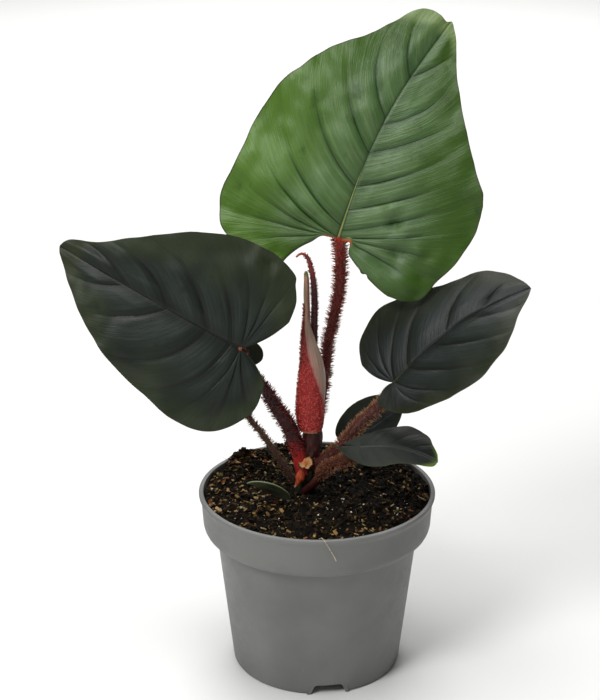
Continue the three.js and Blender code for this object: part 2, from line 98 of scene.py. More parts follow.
def useModifier(piece, kind, **settings):
    pickOnly(piece)
    modifier = piece.modifiers.new("step", kind)
    for key, value in settings.items():
        setattr(modifier, key, value)
    bpy.ops.object.modifier_apply(modifier=modifier.name)


def settlePlace(piece):
    pickOnly(piece)
    bpy.ops.object.transform_apply(location=True, rotation=True, scale=True)


def joinAll(items, name):
    spare = [item.data for item in items[1:]]
    clearSelection()
    for item in items:
        item.select_set(True)
    bpy.context.view_layer.objects.active = items[0]
    if spare:
        bpy.ops.object.join()
        bpy.data.batch_remove(spare)
    return nameActive(name)


def editMesh(piece, *steps):  # steps are edit mode operators, run with everything selected
    pickOnly(piece)
    bpy.ops.object.mode_set(mode="EDIT")
    bpy.ops.mesh.select_all(action="SELECT")
    for step, settings in steps:
        step(**settings)
    bpy.ops.object.mode_set(mode="OBJECT")


def selectPoints(piece, test):  # selects the points that pass, and the edges and faces between them
    mesh = piece.data
    for vertex in mesh.vertices:
        vertex.select = test(vertex.co)
    for part in (*mesh.edges, *mesh.polygons):
        part.select = all(mesh.vertices[i].select for i in part.vertices)


def raiseRings(rings):  # pulls the selected ring up from one (width, height, lean) to the next
    for (width, height, lean), (nextWidth, nextHeight, nextLean) in zip(rings, rings[1:]):
        bpy.ops.mesh.extrude_region_move(TRANSFORM_OT_translate={"value": (nextLean - lean, 0, nextHeight - height)})
        scale = nextWidth / width
        bpy.ops.transform.resize(value=(scale, scale, 1), center_override=(nextLean, 0, nextHeight))


def smoothen(piece, degrees=50):
    pickOnly(piece)
    bpy.ops.object.shade_smooth_by_angle(angle=math.radians(degrees))


def setPoints(mesh, name, values):  # one number for each point, for the materials to read
    layer = mesh.attributes.new(name, "FLOAT", "POINT")
    for item, value in zip(layer.data, values):
        item.value = value


def fillMap(mesh, name, places):
    layer = mesh.uv_layers[name]
    for loop in mesh.loops:
        layer.data[loop.index].uv = places[loop.vertex_index]


def hand(piece, slotName, *nodes, finish=None):  # gives a piece its finish and body, and hides the solids it stands for
    if finish:
        piece.data.materials.append(finish)
    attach(piece, "root")
    if nodes:
        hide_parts(*nodes)


facesOut = ((bpy.ops.mesh.select_all, {"action": "SELECT"}), (bpy.ops.mesh.normals_make_consistent, {"inside": False}))


# Shader building: a node goes into the tree of the first socket that it is given
def newMaterial(name):
    material = bpy.data.materials.new(name)
    material.use_nodes = True
    return material, material.node_tree.nodes["Principled BSDF"]


def shade(code):  # a hex shade as the eye sees it, as Blender's linear colour
    channels = [int(code[i:i + 2], 16) / 255 for i in (1, 3, 5)]
    return tuple(c / 12.92 if c <= 0.04045 else ((c + 0.055) / 1.055) ** 2.4 for c in channels) + (1,)


def feed(socket, value):
    if isinstance(value, bpy.types.NodeSocket):
        socket.id_data.links.new(value, socket)
    else:
        socket.default_value = shade(value) if isinstance(value, str) else value


def addNode(kind, inputs, **settings):
    tree = next(value.id_data for value in inputs.values() if isinstance(value, bpy.types.NodeSocket))
    node = tree.nodes.new(kind)
    for key, value in settings.items():
        setattr(node, key, value)
    for key, value in inputs.items():
        feed(node.inputs[key], value)
    return node.outputs


def maths(operation, *values):
    return addNode("ShaderNodeMath", dict(enumerate(values)), operation=operation)[0]


def plus(first, second):
    return maths("ADD", first, second)


def minus(first, second):
    return maths("SUBTRACT", first, second)


def times(first, second):
    return maths("MULTIPLY", first, second)


def shaken(value, pattern, amount):  # a value pushed both ways by a noise
    return plus(value, times(minus(pattern, 0.5), amount))


def spread(value, low, high, start=0.0, end=1.0):  # a smooth step from low to high
    inputs = dict(enumerate((value, low, high, start, end)))
    return addNode("ShaderNodeMapRange", inputs, interpolation_type="SMOOTHSTEP")[0]


def mixed(factor, first, second):
    return addNode("ShaderNodeMix", {0: factor, 6: first, 7: second}, data_type="RGBA")[2]


def cloudy(vector, scale, detail=3.0, roughness=0.55):
    inputs = {"Vector": vector, "Scale": scale, "Detail": detail, "Roughness": roughness}
    return addNode("ShaderNodeTexNoise", inputs)["Fac"]


def vectorOf(*values):
    return addNode("ShaderNodeCombineXYZ", dict(enumerate(values)))[0]


def partsOf(vector):
    return addNode("ShaderNodeSeparateXYZ", {0: vector})


def drawnOut(place, height):  # squeezes heights, so a noise runs along the z axis
    return addNode("ShaderNodeMapping", {0: place, "Scale": (1, 1, height)})[0]


def objectPlace(shader):
    return shader.id_data.nodes.new("ShaderNodeTexCoord").outputs["Object"]


def mapParts(shader, name):  # the two coordinates of a UV map
    source = shader.id_data.nodes.new("ShaderNodeUVMap")
    source.uv_map = name
    return partsOf(source.outputs[0])[:2]


def pointValue(shader, name):
    node = shader.id_data.nodes.new("ShaderNodeAttribute")
    node.attribute_name = name
    return node.outputs["Fac"]


def paint(shader, colour, roughness, specular=0.5, flesh=(0.0, 0.05)):  # flesh: how much light soaks in, and how far
    names = ("Base Color", "Roughness", "Specular IOR Level", "Subsurface Weight", "Subsurface Scale")
    for name, value in zip(names, (colour, roughness, specular, *flesh)):
        feed(shader.inputs[name], value)


def bumpy(shader, height, distance):
    bump = addNode("ShaderNodeBump", {"Height": height, "Strength": 1.0, "Distance": distance})
    feed(shader.inputs["Normal"], bump[0])


# Curves shared by the blades and the stalks: centripetal, read by share of the length
def evenCurve(points):
    perSpan = 24
    points = [Vector(p) for p in points]
    padded = [2 * points[0] - points[1], *points, 2 * points[-1] - points[-2]]
    samples = []
    for a, b, c, d in zip(padded, padded[1:], padded[2:], padded[3:]):
        before, here, after = ((q - p).length ** 0.5 for p, q in ((a, b), (b, c), (c, d)))
        leaving = ((b - a) / before - (c - a) / (before + here) + (c - b) / here) * here
        arriving = ((c - b) / here - (d - b) / (here + after) + (d - c) / after) * here
        for i in range(perSpan):
            w = i / perSpan
            samples.append(b + leaving * w + (3 * (c - b) - 2 * leaving - arriving) * w ** 2
                           + (2 * (b - c) + leaving + arriving) * w ** 3)
    samples.append(points[-1])
    marks = [0.0]
    for p, q in zip(samples, samples[1:]):
        marks.append(marks[-1] + (q - p).length)

    def at(share):
        goal = min(max(share, 0), 1) * marks[-1]
        low, high = 0, len(marks) - 1
        while high - low > 1:
            middle = (low + high) // 2
            low, high = (middle, high) if marks[middle] <= goal else (low, middle)
        return samples[low].lerp(samples[high], (goal - marks[low]) / (marks[high] - marks[low]))

    return at


# Blades
# junction and tip end the midrib, roll turns the blade about it from level and bend is the midrib's whole turn.
# fold lifts the halves, droop lets them hang, ruffle waves them and midribBow bends the midrib sideways. rows are
# those along the midrib and past the shoulder. quilt, dents and ripple are how high the blade swells between its
# veins, over its whole face and near its margin, and a pit is [along, across, reach, depth].
# An outline is [along, across] from the tip to the sinus. A vein is its share of the midrib, its share of the
# margin and its bow. Hooks push the sinus margin towards the tip, by how much, how far out, over
# what width and how closely they keep to it.
smallVeins = [(0.6, 0.15, 0.06), (0.3, 0.32, 0.08), (0.08, 0.5, 0.08), (0, 0.7, 0.05)]
lowVeins = [(0.5, 0.3, 0.06), (0.15, 0.6, 0.08), (0, 0.8, 0)]
smallBlade = {
    "bend": 20, "fold": 0.15, "midribBow": 0, "ruffle": 0.4, "rows": (40, 24), "columns": 20, "quilt": 0.35,
    "dents": 0.3, "ripple": 0.3,
}
blades = {
    "leaf_tall": {
        "junction": (10, 12, 221.8), "tip": (64.8, 42, 322.2), "roll": 51, "bend": 20, "fold": 0.12, "droop": 0.25,
        "midribBow": 6, "ruffle": 0.8, "rows": (96, 56), "columns": 40, "quilt": 1.55, "dents": 1.9, "ripple": 1.3,
        "pits": [(18.5, -21.5, 3.4, -3.6), (25, -17, 4, 1.8), (-5, -38, 6, 2), (6, -29, 3.6, -2.2), (1, -45, 3, -1.8),
                 (12, -38, 3.4, 1.4), (44, 22, 8, 1), (30, 30, 7, -1), (60, 16, 7, 1), (10, 38, 8, 1.2),
                 (-8, 30, 7, -1), (66, -14, 7, -1), (40, -30, 8, 0.9)],
        "left": {
            "sinusBow": 0.12, "hooks": [(1.8, 7, 4, 1)],
            "outline": [(117.4, 2), (118.6, 6), (119.2, 10), (118, 14.5), (114.5, 18.5), (107.5, 23), (94, 33),
                        (84, 43), (70, 53), (53, 60), (30, 63.5), (9, 62.2), (-2, 63), (-11, 61.5), (-21, 55.2),
                        (-26, 44), (-26, 30), (-22.5, 19)],
            "veins": [(0.71, 0.07, 0.12), (0.52, 0.15, 0.14), (0.365, 0.26, 0.09), (0.22, 0.34, 0.12),
                      (0.05, 0.46, 0.11), (0, 0.56, 0.1), (0, 0.68, 0.06), (0, 0.78, 0), (0, 0.88, -0.05)],
        },
        "right": {
            "sinusBow": -0.05, "hooks": [(4, 5.4, 2.6, 1), (-0.8, 20.2, 0.9, 12), (1, 22.4, 1.1, 12)],
            "outline": [(119, 0), (112, -6), (99, -13), (79, -27), (62, -42), (48, -54), (34, -58), (14, -56),
                        (1, -52), (-9, -48.5), (-12.5, -42.5), (-13.7, -34.4)],
            "veins": [(0.71, 0.1, 0.04), (0.49, 0.17, 0.13), (0.365, 0.3, 0.05), (0.22, 0.38, 0.06),
                      (0.12, 0.465, 0.04), (0.03, 0.53, 0.04), (0, 0.63, 0.03), (0, 0.75, 0), (0, 0.87, -0.04)],
        },
    },
    "leaf_left": {
        "junction": (-37, -20, 176), "tip": (-125, 5, 220), "roll": -74, "bend": 25, "fold": 0.15, "droop": 0.3,
        "midribBow": 0, "ruffle": 0.8, "rows": (80, 48), "columns": 32, "quilt": 1.45, "dents": 1.4, "ripple": 1.0,
        "pits": [(8, -44, 3.5, -1.6), (2, -38, 3, 1)],
        "left": {
            "sinusBow": -0.08,
            "outline": [(99, 4), (86, 15), (77, 22), (64, 30), (44, 39), (22, 44), (8, 46), (-6, 43), (-15, 34),
                        (-20, 22), (-18, 10)],
            "veins": [(0.62, 0.08, 0.08), (0.39, 0.2, 0.08), (0.18, 0.35, 0.16), (0.05, 0.5, 0.14), (0, 0.62, 0.1),
                      (0, 0.76, 0.03), (0, 0.9, -0.05)],
        },
        "right": {
            "sinusBow": -0.06,
            "outline": [(99, -5), (84, -12), (66, -25), (45, -39), (28, -46), (14, -48), (0, -46.5), (-7, -43),
                        (-8.5, -39.5), (-12.8, -32.5), (-14.2, -22.5)],
            "veins": [(0.62, 0.08, 0.1), (0.39, 0.19, 0.13), (0.18, 0.32, 0.13), (0.05, 0.48, 0.1), (0, 0.62, 0.08),
                      (0, 0.75, 0.05), (0, 0.86, 0)],
        },
    },
    "leaf_right": {
        "junction": (37, -15, 157), "tip": (101, -15, 205), "roll": 26, "bend": 25, "fold": 0.3, "droop": 0.4,
        "midribBow": 3, "ruffle": 0.8, "rows": (72, 44), "columns": 32, "quilt": 1.5, "dents": 0.9, "ripple": 0.7,
        "left": {
            "sinusBow": -0.08,
            "outline": [(79, 6), (74, 14), (66, 20.5), (48, 26), (34, 33), (23, 37.5), (13, 40), (2, 38), (-7, 31),
                        (-10, 21)],
            "veins": [(0.68, 0.08, 0.1), (0.43, 0.24, 0.1), (0.12, 0.43, 0.13), (0, 0.57, 0.09), (0, 0.72, 0.1),
                      (0, 0.86, 0.08)],
        },
        "right": {
            "sinusBow": -0.16,
            "outline": [(79, -3), (69.5, -13.5), (58.5, -29), (46.5, -36.5), (38, -38.7), (31, -38), (17.5, -35.6),
                        (7, -31), (-1, -24), (-7.5, -15), (-12, -6), (-12.6, -1.2)],
            "veins": [(0.6, 0.08, 0.08), (0.33, 0.23, 0.08), (0.12, 0.36, 0.08), (0, 0.5, 0.08), (0, 0.64, 0.08),
                      (0, 0.82, 0.04)],
        },
    },
    "leaf_front": {
        "junction": (21, -27, 128), "tip": (57, -42, 127), "roll": 24, "bend": 15, "fold": 0.1, "droop": 0.6,
        "midribBow": 3, "ruffle": 0.5, "rows": (48, 24), "columns": 20, "quilt": 0.35, "dents": 0.3, "ripple": 0.4,
        "left": {
            "sinusBow": -0.05,
            "outline": [(37.5, 4), (33.5, 9), (31, 12.8), (27, 15.2), (19, 17.7), (10.8, 15.2), (3.4, 11), (-2.4, 6.8),
                        (-7, 3.6), (-10.6, 1.2)],
            "veins": [(0.6, 0.15, 0.06), (0.35, 0.32, 0.08), (0.12, 0.5, 0.08), (0, 0.68, 0.05), (0, 0.85, 0)],
        },
        "right": {
            "sinusBow": 0,
            "outline": [(38, -3.6), (29.7, -5.1), (20.6, -7.4), (14.6, -10.5), (7.9, -11.9), (-4.1, -7.6),
                        (-10.3, -3.2), (-13.9, -0.9)],
            "veins": [(0.6, 0.15, 0.06), (0.35, 0.3, 0.08), (0.12, 0.45, 0.08), (0, 0.62, 0.05), (0, 0.82, 0)],
        },
    },
    "leaf_round": {
        "junction": (17, 6, 117), "tip": (43, 14, 133), "roll": 75, "droop": 0.6, **smallBlade,
        "left": {
            "sinusBow": 0,
            "outline": [(31, 5), (26, 11), (19, 14.5), (11, 15.5), (2, 13), (-4, 8), (-5, 3)],
            "veins": smallVeins,
        },
        "right": {
            "sinusBow": 0,
            "outline": [(31, -2), (26, -6), (19, -9), (11, -10), (3, -8), (-3, -5), (-4, -2)],
            "veins": smallVeins,
        },
    },
    "leaf_back": {
        "junction": (-40, 12, 154), "tip": (-68, 22, 163), "roll": -75, "droop": 0.5, **smallBlade,
        "left": {
            "sinusBow": 0,
            "outline": [(27, 4), (18, 9), (8, 14), (-1, 14.5), (-8, 12), (-10, 7), (-7, 3)],
            "veins": smallVeins,
        },
        "right": {
            "sinusBow": 0,
            "outline": [(27, -7), (19, -13), (9, -17), (0, -17), (-8, -14), (-10, -9), (-7, -4)],
            "veins": smallVeins,
        },
    },
    "leaf_low": {
        "junction": (-13.4, -12.6, 92.4), "tip": (-35, -15, 103.6), "roll": 45, "bend": 35, "fold": 0.1, "droop": 1,
        "midribBow": 0, "ruffle": 0, "rows": (36, 8), "columns": 12, "quilt": 0.12, "dents": 0.2, "ripple": 0.2,
        "left": {
            "sinusBow": 0, "outline": [(20, 4), (13, 6.3), (5, 5.6), (1, 2.5)],
            "veins": lowVeins,
        },
        "right": {
            "sinusBow": 0, "outline": [(20, -3.6), (13, -5.8), (5, -5), (1, -2)],
            "veins": lowVeins,
        },
    },
}


bladeForm = {  # the pitch, height and reach of each part of the relief, and how far from the midrib it is clear
    "thickness": 0.5, "columnPower": 1.35, "foldRounding": 3, "ruffleWave": 44, "ruffleReach": 40,
    "marginShake": 0.011, "marginPitch": 14, "swellPower": 0.6, "swellBase": 0.75, "swellSway": 0.6, "swellPitch": 22,
    "swellClear": 9, "flatRim": 2.6, "grooveDepth": 0.45, "grooveWidth": 0.9, "grooveFrom": 20,
    "dentPitch": 17, "dentClear": 12, "ripplePitch": 8, "rippleClear": 8, "rippleInside": 0.25,
}


def bladeSurface(leaf):  # the bent surface, from flat coordinates and a height above it
    junction = Vector(leaf["junction"])
    chord = Vector(leaf["tip"]) - junction
    along = chord.normalized()
    side = Vector((0, 0, 1)).cross(along).normalized()
    up = Matrix.Rotation(math.radians(leaf["roll"]), 3, along) @ along.cross(side)
    across = up.cross(along)
    half = math.radians(leaf["bend"]) / 2
    start = along * math.cos(half) + up * math.sin(half)
    lift = up * math.cos(half) - along * math.sin(half)
    length = chord.length * half / math.sin(half)
    turn = 2 * half / length
    foldRounding, ruffleWave, ruffleReach = (bladeForm[key] for key in ("foldRounding", "ruffleWave", "ruffleReach"))

    def point(u, v, above=0.0):
        height = (leaf["fold"] * (math.hypot(v, foldRounding) - foldRounding) - leaf["droop"] * v * v / 100
                  + leaf["ruffle"] * math.sin(2 * math.pi * u / ruffleWave) * (v / ruffleReach) ** 2 + above)
        return (junction + start * (math.sin(turn * u) / turn + height * math.sin(turn * u))
                + lift * (height * math.cos(turn * u) - (1 - math.cos(turn * u)) / turn) + across * v)

    return point, length


def halfLines(leaf, sideName, length):  # flat points on one half, by vein mark and share from midrib to margin
    half, side = leaf[sideName], 1 if sideName == "left" else -1
    margin = evenCurve([(length, 0), *half["outline"]])
    lines = [(1, 0, half["veins"][0][2]), *half["veins"], (0, 1, -half["sinusBow"])]

    def middleAt(share):
        return Vector((length * share, leaf["midribBow"] * math.sin(math.pi * share)))

    def flatAt(mark, t):
        first = min(int(mark), len(lines) - 2)
        midribShare, edgeShare, bow = (a + (b - a) * (mark - first) for a, b in zip(lines[first], lines[first + 1]))
        middle = middleAt(midribShare)
        shake = noise.noise(Vector((edgeShare * bladeForm["marginPitch"], side, length)))
        row = (margin(edgeShare) - middle) * (1 + bladeForm["marginShake"] * shake)
        towardTip = Vector((row.y, -row.x)) * side
        basal = max(0, (mark - basalMark) / (len(lines) - 1 - basalMark))
        pushed = sum(push * math.exp(-((t * row.length - reach) / width) ** 2) * basal ** closeness
                     for push, reach, width, closeness in half.get("hooks", ()))
        return middle + row * t - towardTip * 4 * bow * t * (1 - t) + towardTip.normalized() * pushed

    def markOnMidrib(share):  # the mark of the line that leaves the midrib here
        for i, (near, far) in enumerate(zip(lines, lines[1:])):
            if near[0] >= share > far[0]:
                return i + (near[0] - share) / (near[0] - far[0])
        return basalMark

    def markOnBase(share):  # past the shoulder every line leaves the junction
        edge = lines[basalMark][1] + share * (1 - lines[basalMark][1])
        for i in range(basalMark, len(lines) - 1):
            if edge <= lines[i + 1][1]:
                return i + (edge - lines[i][1]) / (lines[i + 1][1] - lines[i][1])
        return len(lines) - 1

    basalMark = next(i for i, line in enumerate(lines) if line[0] == 0)
    return flatAt, middleAt, markOnMidrib, markOnBase, len(lines) - 1


def rowShares(leaf):  # midrib shares of the rows, with one on each vein of either half
    stops = sorted({vein[0] for name in ("left", "right") for vein in leaf[name]["veins"]} | {0, 1}, reverse=True)
    shares = []
    for near, far in zip(stops, stops[1:]):
        count = max(1, round((near - far) * leaf["rows"][0]))
        shares += [near + (far - near) * i / count for i in range(count)]
    return shares


def bladeRelief(leaf, mark, t, u, v, away, seed):
    form = bladeForm

    def wave(pitch, shift):
        return noise.noise(Vector((u / form[pitch], v / form[pitch], seed + shift)))

    sway = form["swellBase"] + form["swellSway"] * wave("swellPitch", 4)
    between = abs(math.sin(math.pi * mark)) ** form["swellPower"] * sway
    rise = min(1, away / form["swellClear"]) * (1 - t ** form["flatRim"])
    groove = form["grooveDepth"] * math.exp(-(away / form["grooveWidth"]) ** 2) * min(1, away + u / form["grooveFrom"])
    dents = wave("dentPitch", 0) * leaf["dents"] * min(1, away / form["dentClear"])
    ripple = wave("ripplePitch", 9) * leaf["ripple"] * (form["rippleInside"] + t ** 3)
    ripple *= min(1, away / form["rippleClear"])
    pits = sum(depth * math.exp(-((u - x) ** 2 + (v - y) ** 2) / reach ** 2)
               for x, y, reach, depth in leaf.get("pits", ()))
    return leaf["quilt"] * between * rise - groove + dents + ripple + pits


def makeBlade(name, leaf, seed):
    point, length = bladeSurface(leaf)
    halves = [halfLines(leaf, side, length) for side in ("right", "left")]
    shares, columns = rowShares(leaf), leaf["columns"]
    rowCount = len(shares) + leaf["rows"][1]
    clearSelection()
    bpy.ops.mesh.primitive_grid_add(x_subdivisions=2 * columns, y_subdivisions=rowCount, size=2)
    blade = nameActive(name)
    mesh = blade.data
    veinPlaces, flatPlaces, gaps = [], [], []
    for vertex in mesh.vertices:
        column, row = round(vertex.co.x * columns), round((vertex.co.y + 1) / 2 * rowCount)
        flatAt, middleAt, markOnMidrib, markOnBase, lastMark = halves[column >= 0]
        t = (abs(column) / columns) ** bladeForm["columnPower"]
        onMidrib = row < len(shares)
        mark = markOnMidrib(shares[row]) if onMidrib else markOnBase((row - len(shares)) / leaf["rows"][1])
        flat = flatAt(mark, t)
        away = (flat - middleAt(shares[row] if onMidrib else 0)).length
        relief = 0 if t == 0 and not onMidrib else bladeRelief(leaf, mark, t, flat.x, flat.y, away, seed)
        vertex.co = point(flat.x, flat.y, relief) * mm
        veinPlaces.append((mark, t))
        flatPlaces.append((flat.x / 100, away / 100))
        gaps.append(lastMark - mark)
    mesh.uv_layers[0].name = "veins"
    mesh.uv_layers.new(name="flat")
    fillMap(mesh, "veins", veinPlaces)
    fillMap(mesh, "flat", flatPlaces)
    setPoints(mesh, "sinusGap", gaps)
    editMesh(blade, (bpy.ops.mesh.remove_doubles, {"threshold": 0.00001}))
    return blade


def finishBlade(blade, upper, under):
    blade.data.materials.append(upper)
    blade.data.materials.append(under)
    thickness = bladeForm["thickness"] * mm
    useModifier(blade, "SOLIDIFY", thickness=thickness, offset=0, material_offset=1, material_offset_rim=0)
    smoothen(blade)


# Where each part of the pattern comes in and is full: from midrib to margin, from vein to vein or by its noise
bladePattern = {
    "streakStretch": (7.0, 1.6), "fineStretch": (34.0, 5.0), "speckScale": 1400.0, "blotchScale": 4,
    "rimShake": 1.1, "innerShake": 0.5, "veinShake": 0.6, "tipShake": 0.08, "starShake": 1.5, "tipMargin": 0.04,
    "inner": (0.35, 0.75, 1.0, 0.06), "paintedLightAcross": (-0.045, 0.045), "paintedLightOut": (0.1, 0.75, 0.35, 1.0),
    "paintedCrestSheen": (0.08, 0.4), "paintedSheenStreak": (0.42, 0.72), "fine": (0.35, 0.7), "blotch": (0.58, 0.8),
    "veinFade": (0.35, 0.85, 1.0, 0.05), "paintedVeinShadow": (0.0, 0.14), "veinStrength": (0.01, 0.045), "ribPaintedShade": (0.0, 0.11),
    "ribWidth": (0.007, 0.0025), "ribDark": (1.0, 3.0, 0.8, 0.0), "ribLight": (0.5, 1.0, 0.95, 0.0),
    "margin": (0.985, 0.995), "sinusEdge": (0.03, 0.1), "strip": (0.5, 1.1, 1.0, 0.0), "tipOut": (0.6, 1.0),
    "tipSpan": 0.08, "tipStrength": 0.85, "junctionStrength": 0.95, "gloss": (0.3, 0.7), "glossSway": (-0.05, 0.08),
    "underSpecular": 0.3, "underBump": 0.0003, "relief": {"fine": 1.0, "streaks": 2.0, "specks": 0.35, "veins": 1.2},
}


def bladeMaterials(name, look):
    pattern, relief = bladePattern, bladePattern["relief"]

    def comesIn(part, source):
        return spread(source, *pattern[part], 0.0, look[part])

    def goesOut(part, source):
        return spread(source, *pattern[part], look[part], 0.0)

    def drawnAlong(part, detail):
        across, out = pattern[part]
        return cloudy(vectorOf(times(mark, across), times(t, out), 0.0), 1.0, detail)

    materials = []
    for upper in (True, False):
        material, shader = newMaterial(name if upper else name + "_under")
        mark, t = mapParts(shader, "veins")
        along, away = mapParts(shader, "flat")
        sinusGap = pointValue(shader, "sinusGap")
        place = objectPlace(shader)
        patches = cloudy(place, look["patchScale"], 2)
        streaks = drawnAlong("streakStretch", 4)
        fine = drawnAlong("fineStretch", 3)
        specks = cloudy(place, pattern["speckScale"], 2)
        blotches = cloudy(place, look["patchScale"] * pattern["blotchScale"], 3)
        outward = shaken(t, patches, pattern["rimShake"])
        body = mixed(spread(outward, look["rimFrom"], look["rimTo"]), look["middle"], look["rim"])
        # painted light: the blade is painted brighter toward the left of the plant, the side the key lamp falls on
        if "paintedLightColour" in look:  # brighter toward the left of the plant
            paintedLightSide = spread(partsOf(place)[0], *pattern["paintedLightAcross"], look["paintedLightShare"], 0.0)
            body = mixed(times(paintedLightSide, spread(outward, *pattern["paintedLightOut"])), body, look["paintedLightColour"])
        # painted sheen: the pale colour laid on the panel crests and in streaks over the inner blade stands in for soft
        # highlights
        inner = spread(shaken(t, patches, pattern["innerShake"]), *pattern["inner"])
        offVein = maths("PINGPONG", mark, 0.5)
        body = mixed(times(comesIn("paintedCrestSheen", offVein), inner), body, look["pale"])
        body = mixed(times(comesIn("paintedSheenStreak", streaks), inner), body, look["pale"])
        body = mixed(comesIn("fine", fine), body, look["deep"])
        body = mixed(comesIn("blotch", blotches), body, look["deep"])
        # painted shadow: a wide band beside each vein is darkened toward the vein colour, on top of the vein's own
        # narrow line
        veinFade = spread(shaken(t, patches, pattern["veinShake"]), *pattern["veinFade"])
        veinLineAndShadow = times(maths("MAXIMUM", goesOut("paintedVeinShadow", offVein), goesOut("veinStrength", offVein)), veinFade)
        body = mixed(veinLineAndShadow, body, look["vein"])
        # painted shade: a broad darkening along the midrib
        body = mixed(goesOut("ribPaintedShade", away), body, look["deep"])
        ribOff = maths("DIVIDE", away, spread(along, 0.0, look["ribPaleTo"], *pattern["ribWidth"]))
        body = mixed(spread(ribOff, *pattern["ribDark"]), body, look["vein"])
        ribEnd = spread(along, look["ribPaleTo"] * 0.8, look["ribPaleTo"] * 1.1, 1.0, 0.0)
        body = mixed(times(spread(ribOff, *pattern["ribLight"]), ribEnd), body, look["ribPale"])
        margin = maths("MAXIMUM", spread(t, *pattern["margin"]), goesOut("sinusEdge", sinusGap))
        body = mixed(margin, body, look["margin"])
        nearJunction = maths("SQRT", plus(times(along, along), times(away, away)))
        stripEnd = spread(nearJunction, look["stripReach"] * 0.6, look["stripReach"], 1.0, 0.0)
        body = mixed(times(spread(sinusGap, *pattern["strip"]), stripEnd), body, look["junction"])
        starred = shaken(nearJunction, streaks, look["junctionReach"] * pattern["starShake"])
        star = spread(starred, look["junctionReach"] * 0.5, look["junctionReach"], pattern["junctionStrength"], 0.0)
        body = mixed(star, body, look["junction"])
        tip = shaken(along, patches, pattern["tipShake"])
        tip = plus(tip, times(spread(t, *pattern["tipOut"]), pattern["tipMargin"]))
        tipShare = spread(tip, look["tipFrom"], look["tipFrom"] + pattern["tipSpan"], 0.0, pattern["tipStrength"])
        body = mixed(tipShare, body, look["tip"])
        if not upper:
            body = mixed(look["underShare"], body, look["under"])
        gloss = [look["roughness"] + sway for sway in pattern["glossSway"]]
        roughness = spread(plus(times(patches, 0.6), times(fine, 0.4)), *pattern["gloss"], *gloss)
        paint(shader, body, roughness, look["specular"] if upper else pattern["underSpecular"])
        height = plus(times(fine, relief["fine"]), times(streaks, relief["streaks"]))
        height = minus(plus(height, times(specks, relief["specks"])), times(veinLineAndShadow, relief["veins"]))
        bumpy(shader, height, look["bump"] if upper else pattern["underBump"])
        materials.append(material)
    return materials


# In each look pale is a painted sheen colour, deep is both darker random tone and painted shade along the midrib, and
# vein is both the veins' own colour and painted shadow in their grooves.
bladeLooks = {
    "bright": {
        "middle": "#425e33", "rim": "#365410", "pale": "#7e9767", "deep": "#203a14", "vein": "#172e10",
        "ribPale": "#8a9450", "margin": "#35401c", "junction": "#c04c20", "tip": "#6f8450", "tipFrom": 1.08,
        "under": "#7f9a62", "underShare": 0.6, "paintedLightColour": "#587e26", "paintedLightShare": 0.8, "patchScale": 22.0, "rimFrom": 0.25,
        "rimTo": 0.8, "paintedSheenStreak": 0.34, "fine": 0.25, "paintedCrestSheen": 0.15, "blotch": 0.7, "paintedVeinShadow": 0.35, "veinStrength": 0.85,
        "ribPaintedShade": 0.3, "ribPaleTo": 0.36, "sinusEdge": 1.0, "junctionReach": 0.01, "stripReach": 0.085,
        "roughness": 0.42, "specular": 0.38, "bump": 0.00018,
    },
    "dark": {
        "middle": "#171d18", "rim": "#212612", "pale": "#30383a", "deep": "#0a0e09", "vein": "#050705",
        "ribPale": "#2e381c", "margin": "#2a2e1c", "junction": "#1a2014", "tip": "#262c16", "tipFrom": 0.85,
        "under": "#3f3c30", "underShare": 0.5, "patchScale": 30.0, "rimFrom": 0.5, "rimTo": 1.05, "paintedSheenStreak": 0.3,
        "fine": 0.25, "paintedCrestSheen": 0.15, "blotch": 0.35, "paintedVeinShadow": 0.6, "veinStrength": 0.85, "ribPaintedShade": 0.5,
        "ribPaleTo": 0.14, "sinusEdge": 1.0, "junctionReach": 0.001, "stripReach": 0.001, "roughness": 0.44,
        "specular": 0.26, "bump": 0.00012,
    },
    "grey": {
        "middle": "#50583e", "rim": "#5e664a", "pale": "#767e60", "deep": "#343c2a", "vein": "#343a2a",
        "ribPale": "#5a6246", "margin": "#6c7454", "junction": "#5a5a3c", "tip": "#848a68", "tipFrom": 0.12,
        "under": "#3a4030", "underShare": 0.5, "patchScale": 60.0, "rimFrom": 0.6, "rimTo": 1.1, "paintedSheenStreak": 0.45,
        "fine": 0.3, "paintedCrestSheen": 0.1, "blotch": 0.4, "paintedVeinShadow": 0.2, "veinStrength": 0.3, "ribPaintedShade": 0.2, "ribPaleTo": 0.3,
        "sinusEdge": 0.0, "junctionReach": 0.001, "stripReach": 0.001, "roughness": 0.5, "specular": 0.35,
        "bump": 0.00015,
    },
}
bladeLooks["darkLeft"] = {
    **bladeLooks["dark"], "middle": "#151c16", "rim": "#2b331e", "pale": "#343e37", "ribPale": "#10140d",
    "junction": "#8c4f2e", "junctionReach": 0.013, "rimFrom": 0.45, "rimTo": 0.98, "paintedCrestSheen": 0.25, "paintedSheenStreak": 0.45,
    "blotch": 0.5, "roughness": 0.46, "specular": 0.27, "bump": 0.00008,
}
bladeLooks["darkFront"] = {
    **bladeLooks["dark"], "middle": "#0f150f", "rim": "#131a0c", "pale": "#19211b", "margin": "#303b20",
    "tip": "#5e7826", "tipFrom": 0.33, "paintedVeinShadow": 0.25, "veinStrength": 0.3, "ribPaintedShade": 0.1, "ribPale": "#2c362c",
    "ribPaleTo": 0.3, "sinusEdge": 0.0, "roughness": 0.5, "specular": 0.22, "bump": 0.00008,
}
